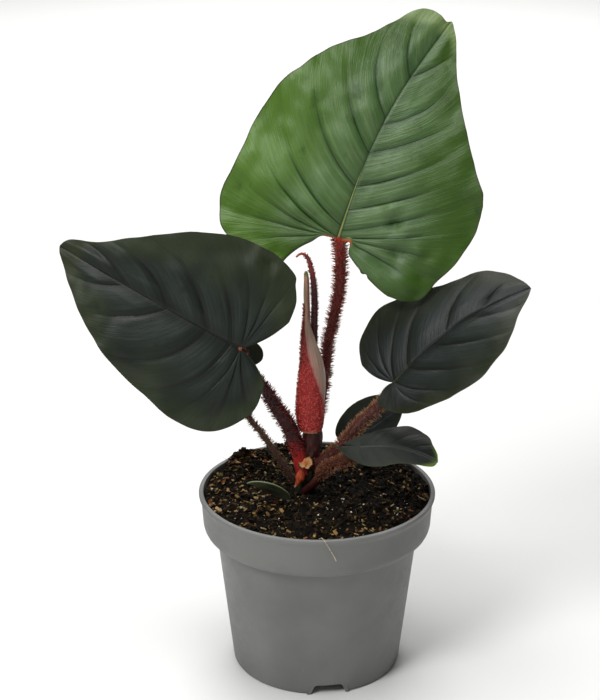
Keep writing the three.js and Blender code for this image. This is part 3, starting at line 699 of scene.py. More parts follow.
leafLook = {
    "leaf_tall": ("bright", "bright_leaf"), "leaf_left": ("darkLeft", "dark_leaf"), "leaf_right": ("dark", "dark_leaf"),
    "leaf_front": ("darkFront", "dark_leaf"), "leaf_round": ("dark", "dark_leaf"), "leaf_back": ("dark", "dark_leaf"),
    "leaf_low": ("grey", "grey_leaf"),
}
lookMaterials = {look: bladeMaterials("leaf_" + look, settings) for look, settings in bladeLooks.items()}
for number, (name, leaf) in enumerate(blades.items()):
    look, slotName = leafLook[name]
    blade = makeBlade(name + "_fine", leaf, number * 3.7)
    finishBlade(blade, *lookMaterials[look])
    hand(blade, slotName, name + "_blade")
    print(name, "blade:", len(blade.data.polygons), "faces")


# Stalks: a bevelled curve for each core and bristles copied from one
# sink puts the end under the junction, by shares of its radius. Bristles grow between the shares from and to, and
# the core turns from foot to head between two heights in metres.
stalks = {
    "leaf_tall": {
        "path": [(-4, 1, 110), (-2.2, 5.6, 118), (1.2, 8.6, 133), (3.8, 11.4, 150), (6, 13, 170), (10.8, 15, 194),
                 (11.4, 15.4, 207)],
        "radius": (2.4, 2.3, 2.4, 2.8), "bristles": 2000, "from": 0.12, "reach": (1.5, 2.9), "thick": 0.19,
        "foot": "#64180f", "head": "#a02a18", "headFrom": 0.2, "headTo": 0.226, "bristle": "#7c2a1c",
        "bristleTip": "#b06048", "slot": "red_petiole",
    },
    "leaf_left": {
        "path": [(-7, -1, 103), (-8.7, -2.3, 112), (-11, -3.6, 121), (-13.5, -4.8, 128.5), (-20.5, -9, 142),
                 (-26, -12.5, 152.8), (-34.6, -14.6, 165)],
        "radius": (3.8, 3.8, 3.6, 2.9, 2.2, 2), "sink": 1.2, "bristles": 1250, "from": 0.13, "reach": (1.2, 2.5),
        "thick": 0.22, "foot": "#b8201c", "head": "#3c0f12", "headFrom": 0.112, "headTo": 0.126, "bristle": "#5a1c1c",
        "bristleTip": "#8a4238", "slot": "red_petiole",
    },
    "leaf_right": {
        "path": [(-5, 0.5, 101.5), (0.8, -3, 109.2), (10, -8, 118.2), (15.4, -10, 125.8), (20.5, -11, 133),
                 (29.7, -11.5, 142.5), (35, -12, 149.5)],
        "radius": (2.5, 2.4, 2.3, 2), "sink": 1.25, "bristles": 1100, "from": 0.2, "to": 0.9, "reach": (1.5, 3.1),
        "thick": 0.145, "foot": "#44110e", "head": "#43160c", "headFrom": 0.11, "headTo": 0.14, "bristle": "#6c3220",
        "bristleTip": "#ab8258", "slot": "hairy_petiole",
    },
    "leaf_front": {
        "path": [(-6.5, -2, 93), (-2.5, -7, 98.5), (0.8, -10, 104), (4, -13, 110), (11, -20, 117), (17, -24.5, 121.5)],
        "radius": (1.8, 2.1, 2.2, 2.1, 1.9), "sink": 1.25, "bristles": 950, "from": 0.3, "to": 0.9, "reach": (1.2, 2.8),
        "thick": 0.15, "foot": "#3c0c0a", "head": "#46200f", "headFrom": 0.098, "headTo": 0.112, "bristle": "#5f2c1f",
        "bristleTip": "#966a4a", "slot": "hairy_petiole",
    },
    "leaf_round": {
        "path": [(-5, 2, 98), (3, 6, 104), (9, 8.5, 109.5), (14, 9.3, 113.6)],
        "radius": (1.7, 1.6, 1.5, 1.4), "bristles": 500, "from": 0.2, "reach": (1, 1.8), "thick": 0.15,
        "foot": "#4e1516", "head": "#4e1516", "headFrom": 0.1, "headTo": 0.12, "bristle": "#5e2a22",
        "bristleTip": "#8f5a44", "slot": "red_petiole",
    },
    "leaf_back": {
        "path": [(-7.5, 2, 92), (-11.8, 1.5, 97), (-16.2, 3, 104), (-22.3, 7, 111.8), (-28.5, 11, 119.7),
                 (-34.7, 14.5, 126.6), (-38.8, 15.5, 140)],
        "radius": (1.6, 1.5, 1.4, 1.3), "bristles": 800, "from": 0.08, "reach": (1, 2.3), "thick": 0.17,
        "foot": "#42201a", "head": "#6b4a30", "headFrom": 0.095, "headTo": 0.125, "bristle": "#4f3524",
        "bristleTip": "#8d7150", "slot": "hairy_petiole",
    },
    "leaf_low": {
        "path": [(-6, -1, 90), (-9, -7, 89.8), (-11.6, -10.4, 90.2)],
        "radius": (1.2, 1.2, 1.1, 1), "bristles": 40, "from": 0.4, "reach": (0.5, 0.9), "thick": 0.1,
        "foot": "#3a2418", "head": "#4a4632", "headFrom": 0.09, "headTo": 0.094, "bristle": "#4a3424",
        "bristleTip": "#6a543c", "slot": "red_petiole",
    },
    "young": {
        "path": [(-1.8, -2, 126.1), (-1.9, -1.8, 142), (-2.2, -0.8, 157.7), (-1.8, 0.5, 170.8), (-1.7, 0.6, 183.3),
                 (-1.5, 0.3, 192), (-1.9, 0, 201.7), (-3.1, -1, 209.6), (-4.7, -2, 215.4), (-6.8, -3, 218.2),
                 (-8.8, -4, 218.4), (-10.4, -5, 217.2)],
        "radius": (2.5, 2.2, 1.9, 1.8, 1.7, 1.5, 1.1, 0.5), "bristles": 900, "from": 0.3, "to": 0.95,
        "reach": (0.5, 1.15), "thick": 0.18, "foot": "#3c1013", "head": "#a8403a", "headFrom": 0.196, "headTo": 0.219,
        "bristle": "#5e1f1d", "bristleTip": "#8f463c", "slot": "red_petiole",
    },
}


def radiusAt(radii, share):
    place = min(max(share, 0), 1) * (len(radii) - 1)
    i = min(int(place), len(radii) - 2)
    return radii[i] + (radii[i + 1] - radii[i]) * (place - i)


def makeTube(name, path, radii, steps=60, roundness=5):
    curve = evenCurve(path)
    clearSelection()
    bpy.ops.curve.primitive_nurbs_path_add()
    tube = bpy.context.object
    tube.data.splines.clear()
    spline = tube.data.splines.new("POLY")
    spline.points.add(steps)
    for i, knot in enumerate(spline.points):
        knot.co = (*(curve(i / steps) * mm), 1)
        knot.radius = radiusAt(radii, i / steps)
    tube.data.dimensions = "3D"
    tube.data.bevel_depth = mm
    tube.data.bevel_resolution = roundness
    tube.data.use_fill_caps = True
    pickOnly(tube)
    bpy.ops.object.convert(target="MESH")
    tube = nameActive(name)
    settlePlace(tube)
    editMesh(tube, (bpy.ops.mesh.remove_doubles, {"threshold": 0.000001}), *facesOut)
    smoothen(tube, 60)
    return tube, curve


def makeBristle(name):  # a unit bristle that grows up the z axis, narrows and leans
    clearSelection()
    bpy.ops.mesh.primitive_circle_add(vertices=3, radius=1, fill_type="NOTHING")
    bristle = nameActive(name)
    rings = [(1, 0, 0), (0.9, 0.3, 0.02), (0.7, 0.62, 0.07), (0.25, 1, 0.16)]
    editMesh(bristle, (raiseRings, {"rings": rings}), (bpy.ops.mesh.edge_face_add, {}))
    setPoints(bristle.data, "reach", [vertex.co.z for vertex in bristle.data.vertices])
    return bristle


def copyInPlaces(original, places, name, tints=None):  # one mesh from many placed copies, joined a bunch at a time
    bunches, bunchSize = [], 150
    for start in range(0, len(places), bunchSize):
        bunch = []
        for number in range(start, min(start + bunchSize, len(places))):
            twin = bpy.data.objects.new(name, original.data.copy())
            twin.data.transform(places[number])
            if tints:
                setPoints(twin.data, "tint", [tints[number]] * len(twin.data.vertices))
            bpy.context.collection.objects.link(twin)
            bunch.append(twin)
        bunches.append(joinAll(bunch, name))
    return joinAll(bunches, name)


def bristlePlace(root, direction, length, thickness, turn):
    stand = direction.to_track_quat("Z", "Y").to_matrix().to_4x4()
    size = Matrix.Diagonal((thickness * mm, thickness * mm, length * mm, 1))
    return Matrix.Translation(root * mm) @ stand @ Matrix.Rotation(turn, 4, "Z") @ size


stalkSkin = {
    "mottle": 420.0, "warts": 1900.0, "headShake": 0.012, "dark": "#140606", "roughness": 0.5, "flesh": (0.06, 0.002),
    "bristleTint": 300.0, "bristleRoughness": 0.45,
}


def stalkMaterial(name, stalk):
    material, shader = newMaterial(name)
    place = objectPlace(shader)
    mottle = cloudy(place, stalkSkin["mottle"], 3)
    warts = cloudy(place, stalkSkin["warts"], 2)
    height = shaken(partsOf(place)[2], mottle, stalkSkin["headShake"])
    core = mixed(spread(height, stalk["headFrom"], stalk["headTo"]), stalk["foot"], stalk["head"])
    core = mixed(spread(mottle, 0.4, 0.75, 0.0, 0.45), core, stalkSkin["dark"])
    core = mixed(spread(warts, 0.5, 0.75, 0.0, 0.35), core, stalk["bristle"])
    paint(shader, core, stalkSkin["roughness"], flesh=stalkSkin["flesh"])
    bumpy(shader, warts, 0.0003)
    return material


def bristleMaterial(name, root, tip):
    material, shader = newMaterial(name)
    tint = cloudy(objectPlace(shader), stalkSkin["bristleTint"], 2)
    colour = mixed(spread(pointValue(shader, "reach"), 0.15, 1.0), root, tip)
    paint(shader, mixed(spread(tint, 0.35, 0.7, 0.0, 0.4), colour, root), stalkSkin["bristleRoughness"])
    return material


def coverWithBristles(name, curve, stalk, original, draw):
    places = []
    span = stalk.get("to", 0.99) - stalk["from"]
    for i in range(stalk["bristles"]):
        share = stalk["from"] + span * (i + draw.random()) / stalk["bristles"]
        along = (curve(min(1, share + 0.01)) - curve(share - 0.01)).normalized()
        side = Matrix.Rotation(draw.uniform(0, 2 * math.pi), 3, along) @ along.orthogonal().normalized()
        root = curve(share) + side * radiusAt(stalk["radius"], share) * 0.95
        direction = (side + along * draw.uniform(-0.15, 0.55) + Vector((0, 0, 0.12))).normalized()
        length = draw.uniform(*stalk["reach"]) * min(1, 0.45 + 6 * (share - stalk["from"]))
        thickness, turn = stalk["thick"] * draw.uniform(0.8, 1.25), draw.uniform(0, 6.28)
        places.append(bristlePlace(root, direction, length, thickness, turn))
    return copyInPlaces(original, places, name)


bristle = makeBristle("bristle")
for number, (name, stalk) in enumerate(stalks.items()):
    path = list(stalk["path"])
    if name in blades:  # the last point is under the junction
        point, length = bladeSurface(blades[name])
        path.append(point(1, 0, -stalk.get("sink", 0.55) * stalk["radius"][-1]))
    tube, curve = makeTube(name + "_core", path, stalk["radius"])
    hand(tube, stalk["slot"], name + "_petiole", finish=stalkMaterial(name + "_stalk", stalk))
    hairs = coverWithBristles(name + "_bristles", curve, stalk, bristle, random.Random(100 + number))
    hand(hairs, stalk["slot"], finish=bristleMaterial(name + "_bristle", stalk["bristle"], stalk["bristleTip"]))
    print(name, "stalk:", stalk["bristles"], "bristles")


# Sheath: a wrapped sheet with papillae on its red face
sheath = {
    "rows": [(126.4, -3.3, 5.4, 4.6), (129, -3.4, 6, 4.8), (134, -3.7, 6.8, 5.2), (142, -3.4, 6.9, 5.3),
             (150, -2.9, 6.9, 5.2), (156, -2.7, 6.5, 4.9), (163, -2.9, 5.6, 4.2), (169, -3.7, 4.6, 3.4),
             (176, -4.7, 3.1, 2.5), (182, -5.4, 2, 1.8), (189, -5.3, 1.5, 1.4), (198, -5.5, 1.45, 1.3),
             (205, -5.5, 1.25, 1.1),
             (208.6, -5.7, 0.9, 0.8), (209.6, -5.7, 0.4, 0.4)],  # height, centre, half width and half depth
    "depth": -3, "wall": 0.8, "openFrom": 20, "openTo": 100, "columns": 84, "lines": 120, "flare": 0.5,
    "papillae": {
        "count": 2600, "from": 0.02, "span": 0.78, "around": (0.02, 1), "redTop": 143, "keepOff": 0, "sunk": 0.1,
        "reach": (0.3, 0.6), "sideReach": (0.7, 1.3), "sideTo": 0.42, "sideShare": 0.6, "thick": (0.16, 0.28),
    },
    "beads": {
        "count": 2000, "from": 0.015, "span": 0.62, "around": (0.1, 0.98), "redTop": 144, "keepOff": 0.02, "sunk": 0.05,
        "size": (0.22, 0.42),
    },
    "red": "#960f0c", "redPale": "#b42a20", "redDeep": "#54090a", "highRed": "#6a2a24", "bead": "#a01512",
    "beadPinkAndHighlight": "#da5c4e", "smooth": "#a58d7c", "smoothLine": "#76584c", "smoothPink": "#a8645a", "hem": "#a06850",
    "tip": "#6a7040", "rolled": "#bd967c", "borderTop": 185.0, "borderFoot": 0.5, "borderCurve": 0.000175,
    "borderBlur": (-0.02, 0.05), "fadeAt": (152.0, 182.0), "smoothAt": (138.0, 150.0), "rollAt": (183.0, 188.0),
    "rolledAt": (178.0, 190.0), "hemAt": (126.8, 128.6), "tipAt": (206.5, 208.5), "pinkReach": (0.0, 0.16),
    "grain": 1500.0, "mottle": 500.0, "lineStretch": (60.0, 3.0), "roughness": 0.45, "flesh": (0.1, 0.002),
}


def sheathPoint(settings, curve, around, up, out=0.0):
    z, x, halfWidth, halfDepth = curve(up)
    angle = math.radians(settings["openTo"] + (360 - settings["openTo"] + settings["openFrom"]) * around)
    out += settings["flare"] * max(0, (around - 0.9) / 0.1) * (1 - up)
    depth = settings["depth"] + (halfDepth + out) * math.sin(angle)
    return Vector((x + (halfWidth + out) * math.cos(angle), depth, z))


def makeSheath(settings):
    curve = evenCurve([Vector(row) for row in settings["rows"]])
    columns, lines = settings["columns"], settings["lines"]
    clearSelection()
    bpy.ops.mesh.primitive_grid_add(x_subdivisions=columns, y_subdivisions=lines, size=2)
    piece = nameActive("sheath_wrap")
    piece.data.uv_layers[0].name = "wrap"
    fillMap(piece.data, "wrap", [((vertex.co.x + 1) / 2, (vertex.co.y + 1) / 2) for vertex in piece.data.vertices])
    for vertex in piece.data.vertices:
        around, up = (vertex.co.x + 1) / 2, (vertex.co.y + 1) / 2
        creases = 0.12 * noise.noise(Vector((around * 22, up * 3, 1)))
        creases += 0.1 * noise.noise(Vector((around * 40, up * 60, 5)))
        place = sheathPoint(settings, curve, around, up, creases)
        if up < 0.02:
            place.z += 0.9 * (noise.noise(Vector((around * 16, 0, 3))) + 0.4) * (1 - up / 0.02)
        vertex.co = place * mm
    useModifier(piece, "SOLIDIFY", thickness=settings["wall"] * mm, offset=-1)
    smoothen(piece)
    return piece, curve


def sheathMaterial(settings):
    material, shader = newMaterial("sheath_skin")
    around, up = mapParts(shader, "wrap")
    place = objectPlace(shader)
    height = times(partsOf(place)[2], 1000.0)
    grain = cloudy(place, settings["grain"], 2)
    mottle = cloudy(place, settings["mottle"], 3)
    wide, tall = settings["lineStretch"]
    lines = cloudy(vectorOf(times(around, wide), times(up, tall), 0.0), 1.0, 3)
    red = mixed(spread(height, *settings["fadeAt"]), settings["red"], settings["highRed"])
    red = mixed(spread(grain, 0.5, 0.75, 0.0, 0.5), red, settings["redPale"])
    red = mixed(spread(mottle, 0.45, 0.75, 0.0, 0.7), red, settings["redDeep"])
    border = maths("POWER", maths("MAXIMUM", minus(settings["borderTop"], height), 0.0), 2.0)
    border = plus(times(border, settings["borderCurve"]), settings["borderFoot"])
    past = shaken(minus(around, border), mottle, 0.08)
    lowPart = times(spread(past, *settings["borderBlur"]), spread(height, *settings["smoothAt"]))
    share = mixed(spread(height, *settings["rollAt"]), lowPart, spread(around, 0.6, 0.75, 1.0, 0.35))
    smooth = mixed(spread(lines, 0.4, 0.7, 0.0, 0.7), settings["smooth"], settings["smoothLine"])
    smooth = mixed(spread(past, *settings["pinkReach"], 0.6, 0.0), smooth, settings["smoothPink"])
    smooth = mixed(spread(height, *settings["rolledAt"], 0.0, 0.85), smooth, settings["rolled"])
    body = mixed(share, red, smooth)
    body = mixed(spread(shaken(height, mottle, 3.0), *settings["hemAt"], 1.0, 0.0), body, settings["hem"])
    body = mixed(spread(height, *settings["tipAt"]), body, settings["tip"])
    paint(shader, body, settings["roughness"], flesh=settings["flesh"])
    bumpy(shader, plus(grain, lines), 0.00025)
    return material


def smoothFrom(settings, height):  # how far round the smooth face starts
    return settings["borderFoot"] + max(0, settings["borderTop"] - height) ** 2 * settings["borderCurve"]


def redSpots(settings, cover, curve, draw):  # where the bits of a cover stand on the red face, and which way is out
    for i in range(cover["count"]):
        up = cover["from"] + cover["span"] * (i + draw.random()) / cover["count"]
        around = draw.uniform(*cover["around"])
        height = curve(up)[0]
        if height > cover["redTop"] and around > smoothFrom(settings, height) - cover["keepOff"]:
            continue
        root = sheathPoint(settings, curve, around, up, -cover["sunk"])
        yield up, around, root, (sheathPoint(settings, curve, around, up, 1) - root).normalized()


def coverSheath(settings, curve, original, draw):
    places, cover = [], settings["papillae"]
    for up, around, root, out in redSpots(settings, cover, curve, draw):
        direction = (out + Vector((0, 0, draw.uniform(0.1, 0.8)))).normalized()
        reach = cover["sideReach" if around < cover["sideTo"] and draw.random() < cover["sideShare"] else "reach"]
        length, thickness, turn = draw.uniform(*reach), draw.uniform(*cover["thick"]), draw.uniform(0, 6.28)
        places.append(bristlePlace(root, direction, length, thickness, turn))
    return copyInPlaces(original, places, "sheath_papillae")


def beadSheath(settings, curve, draw):
    clearSelection()
    bpy.ops.mesh.primitive_ico_sphere_add(subdivisions=1, radius=1)
    bead = nameActive("bead")
    setPoints(bead.data, "reach", [(vertex.co.z + 1) / 2 for vertex in bead.data.vertices])
    places, cover = [], settings["beads"]
    for up, around, root, out in redSpots(settings, cover, curve, draw):
        size = draw.uniform(*cover["size"]) * (1 - 0.5 * up)
        places.append(bristlePlace(root, out, size * 0.8, size, 0))
    beads = copyInPlaces(bead, places, "sheath_beads")
    bpy.data.objects.remove(bead)
    pickOnly(beads)
    bpy.ops.object.shade_smooth()
    return beads


sheathPiece, sheathCurve = makeSheath(sheath)
hand(sheathPiece, "sheath", "sheath", finish=sheathMaterial(sheath))
papillae = coverSheath(sheath, sheathCurve, bristle, random.Random(55))
hand(papillae, "sheath", finish=bristleMaterial("sheath_papilla", sheath["redDeep"], sheath["redPale"]))
# each bead runs from a red foot to a pale pink outer cap, partly its own colour and partly a painted highlight
beads = beadSheath(sheath, sheathCurve, random.Random(56))
hand(beads, "sheath", finish=bristleMaterial("sheath_bead", sheath["bead"], sheath["beadPinkAndHighlight"]))
print("sheath:", len(papillae.data.polygons), "faces of papillae")


# Stem: a barky core, the scar of a lost stalk, tufts and a bud scale
stem = {
    "path": [(-6.5, 3, 72), (-6.7, 2.5, 86), (-6.5, 2, 94), (-5.6, 1, 103), (-4.3, 0.6, 111), (-2.6, 0.3, 119),
             (-2.4, 0, 128.5)],
    "radius": (2, 4.6, 4.7, 4.9, 5, 4.9, 4.6), "ridges": 0.5,
    "bark": "#36100c", "barkPale": "#86301f", "barkLow": "#1f2416",
    "tufts": {
        "bristles": 170, "from": 0.56, "to": 0.72, "radius": (2, 4.6, 4.7, 4.9, 5, 4.9, 4.6), "reach": (0.8, 2.2),
        "thick": 0.15, "bristle": "#a03a24", "bristleTip": "#e0946a",
    },
    "dark": "#150607", "lowAt": (0.102, 0.109), "strands": 900.0, "mottle": 380.0, "roughness": 0.55,
}
scar = {  # insets are the width of each ring of the cut face, and how far it stands out
    "from": (-5.4, -1, 108.3), "to": (-5.7, -6, 110.2), "radius": 3.5,
    "wide": 1.12, "high": 0.84,
    "insets": [(0.25, 0.3), (0.45, -0.35), (0.6, -0.05), (0.6, 0.2), (0.6, 0.1), (0.5, 0.02)],
    "cut": "#c8965e", "core": "#c4642c", "rim": "#5a3a1c", "dot": "#e6c49a",
    "coreAt": (0.0006, 0.0022), "rimAt": (0.0029, 0.0036), "rimShake": 0.0016, "roughness": 0.7,
}
budScale = {
    "place": (-9, -5.4, 101.4), "length": 5.6, "width": 2.5, "depth": 1.2, "keel": 0.35, "curl": 1.1, "lean": 18,
    "colour": "#a83818", "pale": "#d8764c", "foot": "#e0c4a8", "tip": "#9c2119",
    "footAt": (0.0955, 0.099), "tipAt": (0.1035, 0.107), "lines": 1500.0, "roughness": 0.4, "flesh": (0.15, 0.0015),
}


def makeStem(settings):
    core, curve = makeTube("stem_core", settings["path"], settings["radius"], steps=110, roundness=20)
    for vertex in core.data.vertices:
        x, y, z = vertex.co / mm
        middle = min((curve(i / 60) for i in range(61)), key=lambda p: (p - vertex.co / mm).length_squared)
        out = Vector((x - middle.x, y - middle.y, 0))
        angle = math.atan2(out.y, out.x)
        ridge = noise.noise(Vector((3.2 * math.cos(angle), 3.2 * math.sin(angle), z / 9)))
        chips = noise.noise(Vector((x * 1.3, y * 1.3, z * 0.9)))
        if out.length > 0.5:
            vertex.co += out.normalized() * (ridge * settings["ridges"] * 1.6 + chips * 0.25) * mm
    return core, curve


def stemMaterial(settings):
    material, shader = newMaterial("stem_bark")
    place = objectPlace(shader)
    strands = cloudy(drawnOut(place, 0.25), settings["strands"], 4)
    mottle = cloudy(place, settings["mottle"], 3)
    body = mixed(spread(strands, 0.45, 0.7, 0.0, 0.7), settings["bark"], settings["barkPale"])
    body = mixed(spread(mottle, 0.45, 0.75, 0.0, 0.6), body, settings["dark"])
    body = mixed(spread(partsOf(place)[2], *settings["lowAt"], 1.0, 0.0), body, settings["barkLow"])
    paint(shader, body, settings["roughness"])
    bumpy(shader, strands, 0.0005)
    return material


def makeScar(settings):
    start, end = Vector(settings["from"]), Vector(settings["to"])
    axis = end - start
    outward = axis.normalized()
    clearSelection()
    bpy.ops.mesh.primitive_cylinder_add(vertices=40, radius=settings["radius"] * mm, depth=axis.length * mm,
                                        location=(start + axis / 2) * mm,
                                        rotation=axis.to_track_quat("Z", "Y").to_euler())
    piece = nameActive("stem_scar")
    settlePlace(piece)
    selectPoints(piece, lambda co: (co / mm - start - axis / 2).dot(axis) > 0)
    bpy.ops.object.mode_set(mode="EDIT")
    bpy.ops.mesh.select_mode(type="FACE")
    for inset, push in settings["insets"]:
        bpy.ops.mesh.inset(thickness=inset * mm)
        bpy.ops.transform.translate(value=outward * push * mm)
    bpy.ops.object.mode_set(mode="OBJECT")
    for vertex in piece.data.vertices:
        place = vertex.co / mm
        rough = noise.noise(place * 1.1) * 0.5 + noise.noise(place * 2.7) * 0.3
        ragged = noise.noise(place * 0.55 + Vector((3, 1, 7))) * 0.5 + noise.noise(place * 1.6) * 0.2
        out = place - end
        out.x, out.z = out.x * (settings["wide"] + ragged), out.z * (settings["high"] + ragged)
        vertex.co = (end + out + outward * rough) * mm
    smoothen(piece, 60)
    return piece


def scarMaterial(settings):
    material, shader = newMaterial("stem_scar")
    place = objectPlace(shader)
    away = addNode("ShaderNodeVectorMath", {0: place, 1: Vector(settings["to"]) * mm}, operation="DISTANCE")["Value"]
    dots = cloudy(place, 2600.0, 2)
    rough = cloudy(place, 900.0, 3)
    reach = shaken(away, rough, settings["rimShake"])
    body = mixed(spread(reach, *settings["coreAt"], 1.0, 0.0), settings["cut"], settings["core"])
    body = mixed(spread(dots, 0.5, 0.75, 0.0, 0.5), body, settings["dot"])
    body = mixed(spread(reach, *settings["rimAt"]), body, settings["rim"])
    paint(shader, body, settings["roughness"])
    bumpy(shader, plus(dots, rough), 0.0005)
    return material


def makeBudScale(settings):
    clearSelection()
    bpy.ops.mesh.primitive_uv_sphere_add(segments=28, ring_count=20, radius=1)
    piece = nameActive("bud_scale_leaf")
    lean = Matrix.Rotation(math.radians(settings["lean"]), 3, "Y")
    for vertex in piece.data.vertices:
        x, y, z = vertex.co
        taper = (1 - 0.35 * abs(z) ** 1.5) * (0.75 + 0.25 * z if z < 0 else 1)
        keel = settings["keel"] * (1 - abs(x)) * (1 - z * z) * (y < 0)
        across = settings["width"] * x * taper + settings["curl"] * (0.35 - z * z)
        place = Vector((across, settings["depth"] * y * taper - keel, settings["length"] * z))
        vertex.co = (lean @ place + Vector(settings["place"])) * mm
    pickOnly(piece)
    bpy.ops.object.shade_smooth()
    return piece


def budScaleMaterial(settings):
    material, shader = newMaterial("bud_scale_skin")
    place = objectPlace(shader)
    height = partsOf(place)[2]
    lines = cloudy(drawnOut(place, 0.2), settings["lines"], 3)
    body = mixed(spread(lines, 0.4, 0.7, 0.0, 0.7), settings["colour"], settings["pale"])
    body = mixed(spread(height, *settings["footAt"], 1.0, 0.0), body, settings["foot"])
    body = mixed(spread(height, *settings["tipAt"]), body, settings["tip"])
    paint(shader, body, settings["roughness"], flesh=settings["flesh"])
    bumpy(shader, lines, 0.0002)
    return material


stemPiece, stemCurve = makeStem(stem)
hand(stemPiece, "stem", "stem", finish=stemMaterial(stem))
hand(makeScar(scar), "stem", finish=scarMaterial(scar))
hand(makeBudScale(budScale), "bud_scale", "bud_scale", finish=budScaleMaterial(budScale))
tufts = coverWithBristles("stem_tufts", stemCurve, stem["tufts"], bristle, random.Random(77))
hand(tufts, "stem", finish=bristleMaterial("stem_tuft", stem["tufts"]["bristle"], stem["tufts"]["bristleTip"]))
bpy.data.objects.remove(bristle)
print("stem, scar, bud scale and tufts made")


# Pot: one ring raised up the outside, over the lip and down the inside, then cut by its drain channels
pot = {
    "sides": 144, "wall": 1.3,
    "profile": [(42.8, 0), (43.2, 0.15), (43.4, 0.6), (43.6, 2), (51.3, 70.6), (51.7, 71.3), (52.6, 71.7), (54.6, 72.1),
                (55.9, 72.8), (56.9, 73.9), (57.6, 75.3), (58, 77), (58.75, 88.4), (58.95, 89.9), (59.35, 90.9),
                (59.8, 91.6), (60, 92.3), (60, 93.1), (59.8, 93.6), (59.3, 93.8), (58.2, 93.8), (57.8, 93.6),
                (57.65, 93.1), (57.6, 91), (56.7, 77.6), (55.4, 75), (53, 73.5), (50.4, 72.9), (50, 71.6), (42.2, 2),
                (41.4, 1.3)],
    "channelFoot": 19, "channelTop": 13.6, "channelHeight": 5.1, "channelInner": 27, "holeRadius": 3.5,
    "channelTurns": (-82.5, 37.5, 157.5), "rounding": 1.5, "cutReach": 70, "cutUnder": 2,
    "clouds": 22.0, "grain": 2600.0, "scuffs": 240.0, "gloss": (0.46, 0.6), "specular": 0.25,
    "colour": "#7b7b79", "pale": "#8a8a88", "deep": "#6d6d6b",
}


def makeTurned(name, profile, sides):
    rings = [(radius * mm, height * mm, 0) for radius, height in profile]
    clearSelection()
    bpy.ops.mesh.primitive_circle_add(vertices=sides, radius=rings[0][0], fill_type="NGON",
                                      location=(0, 0, rings[0][1]))
    form = nameActive(name)
    settlePlace(form)
    editMesh(form, (raiseRings, {"rings": rings}), *facesOut)
    return form


def channelForms(settings, grow, outer, under, name):
    forms = []
    inner = settings["channelInner"] - grow
    top, foot = settings["channelHeight"] + grow, -under
    width, topWidth = (settings[key] + 2 * grow for key in ("channelFoot", "channelTop"))
    for turn in settings["channelTurns"]:
        clearSelection()
        bpy.ops.mesh.primitive_cube_add(size=mm, location=((inner + outer) / 2 * mm, 0, (top + foot) / 2 * mm))
        form = bpy.context.object
        form.scale = (outer - inner, width, top - foot)
        settlePlace(form)
        selectPoints(form, lambda co: co.z > 0.5 * top * mm)
        bpy.ops.object.mode_set(mode="EDIT")
        bpy.ops.transform.resize(value=(1, topWidth / width, 1), center_override=(0, 0, 0))
        bpy.ops.mesh.bevel(offset=(settings["rounding"] + grow * 0.5) * mm, segments=5)
        bpy.ops.object.mode_set(mode="OBJECT")
        form.data.transform(Matrix.Rotation(math.radians(turn), 4, "Z"))
        forms.append(form)
    return joinAll(forms, name)


def drillForms(settings):
    forms = []
    inner, height = settings["channelInner"], settings["channelHeight"]
    for turn in settings["channelTurns"]:
        place = Matrix.Rotation(math.radians(turn), 3, "Z") @ Vector((inner, 0, height))
        clearSelection()
        bpy.ops.mesh.primitive_cylinder_add(vertices=40, radius=settings["holeRadius"] * mm, depth=2 * height * mm,
                                            location=place * mm)
        settlePlace(bpy.context.object)
        forms.append(bpy.context.object)
    return joinAll(forms, "drills")


def cutWith(piece, tool, operation):
    useModifier(piece, "BOOLEAN", object=tool, operation=operation, solver="EXACT")
    bpy.data.objects.remove(tool)


def potMaterial(settings):
    material, shader = newMaterial("pot_plastic")
    place = objectPlace(shader)
    clouds = cloudy(place, settings["clouds"], 3)
    grain = cloudy(place, settings["grain"], 2)
    scuffs = cloudy(place, settings["scuffs"], 5, 0.7)
    body = mixed(spread(clouds, 0.3, 0.7), settings["deep"], settings["colour"])
    body = mixed(spread(scuffs, 0.6, 0.8, 0.0, 0.5), body, settings["pale"])
    body = mixed(spread(grain, 0.3, 0.7, 0.0, 0.12), body, settings["deep"])
    paint(shader, body, spread(scuffs, 0.3, 0.75, *settings["gloss"]), settings["specular"])
    bumpy(shader, plus(grain, times(scuffs, 0.6)), 0.00006)
    return material


potPiece = makeTurned("pot_shell", pot["profile"], pot["sides"])
cutWith(potPiece, channelForms(pot, pot["wall"], pot["profile"][0][0], 0, "channel_blocks"), "UNION")
cutWith(potPiece, channelForms(pot, 0, pot["cutReach"], pot["cutUnder"], "channel_cuts"), "DIFFERENCE")
cutWith(potPiece, drillForms(pot), "DIFFERENCE")
smoothen(potPiece, 32)
hand(potPiece, "pot", "pot", finish=potMaterial(pot))
print("pot:", len(potPiece.data.polygons), "faces")


# Soil: a lumpy bed, crumbs, bark chips, perlite and fibres
soil = {
    "height": 91, "slope": 0.03, "reach": 57.4, "cells": 200,
    "sides": [(56.4, 84), (55.6, 77.5), (49.6, 70), (42.6, 9)], "piles": [(-40, 36, 3), (-23, 47, 3.2), (-14, 49, 2)],
    "lumps": [(7, 1.1), (3, 0.8), (1.4, 0.55), (0.8, 0.35)],  # how wide and how high
    "bed": "#060504", "bedPale": "#15100a", "bedFleck": "#352c18", "grit": "#0d0906",
    "coarse": 260.0, "fine": 1500.0, "grain": 900.0, "bedRoughness": 0.9, "bedSpecular": 0.1, "specular": 0.14,
    "strayFibre": [(0.5, -55.5, 92.8), (1.7, -57.6, 94.3), (3.2, -60.2, 93.7), (5.4, -60.7, 90), (7.8, -60.4, 85.4),
                   (8.5, -60.3, 83.6)],
    "strayRadius": (0.2, 0.17, 0.16, 0.24), "strayShades": ("#c8bc9c", "#d8d0bc"),
}


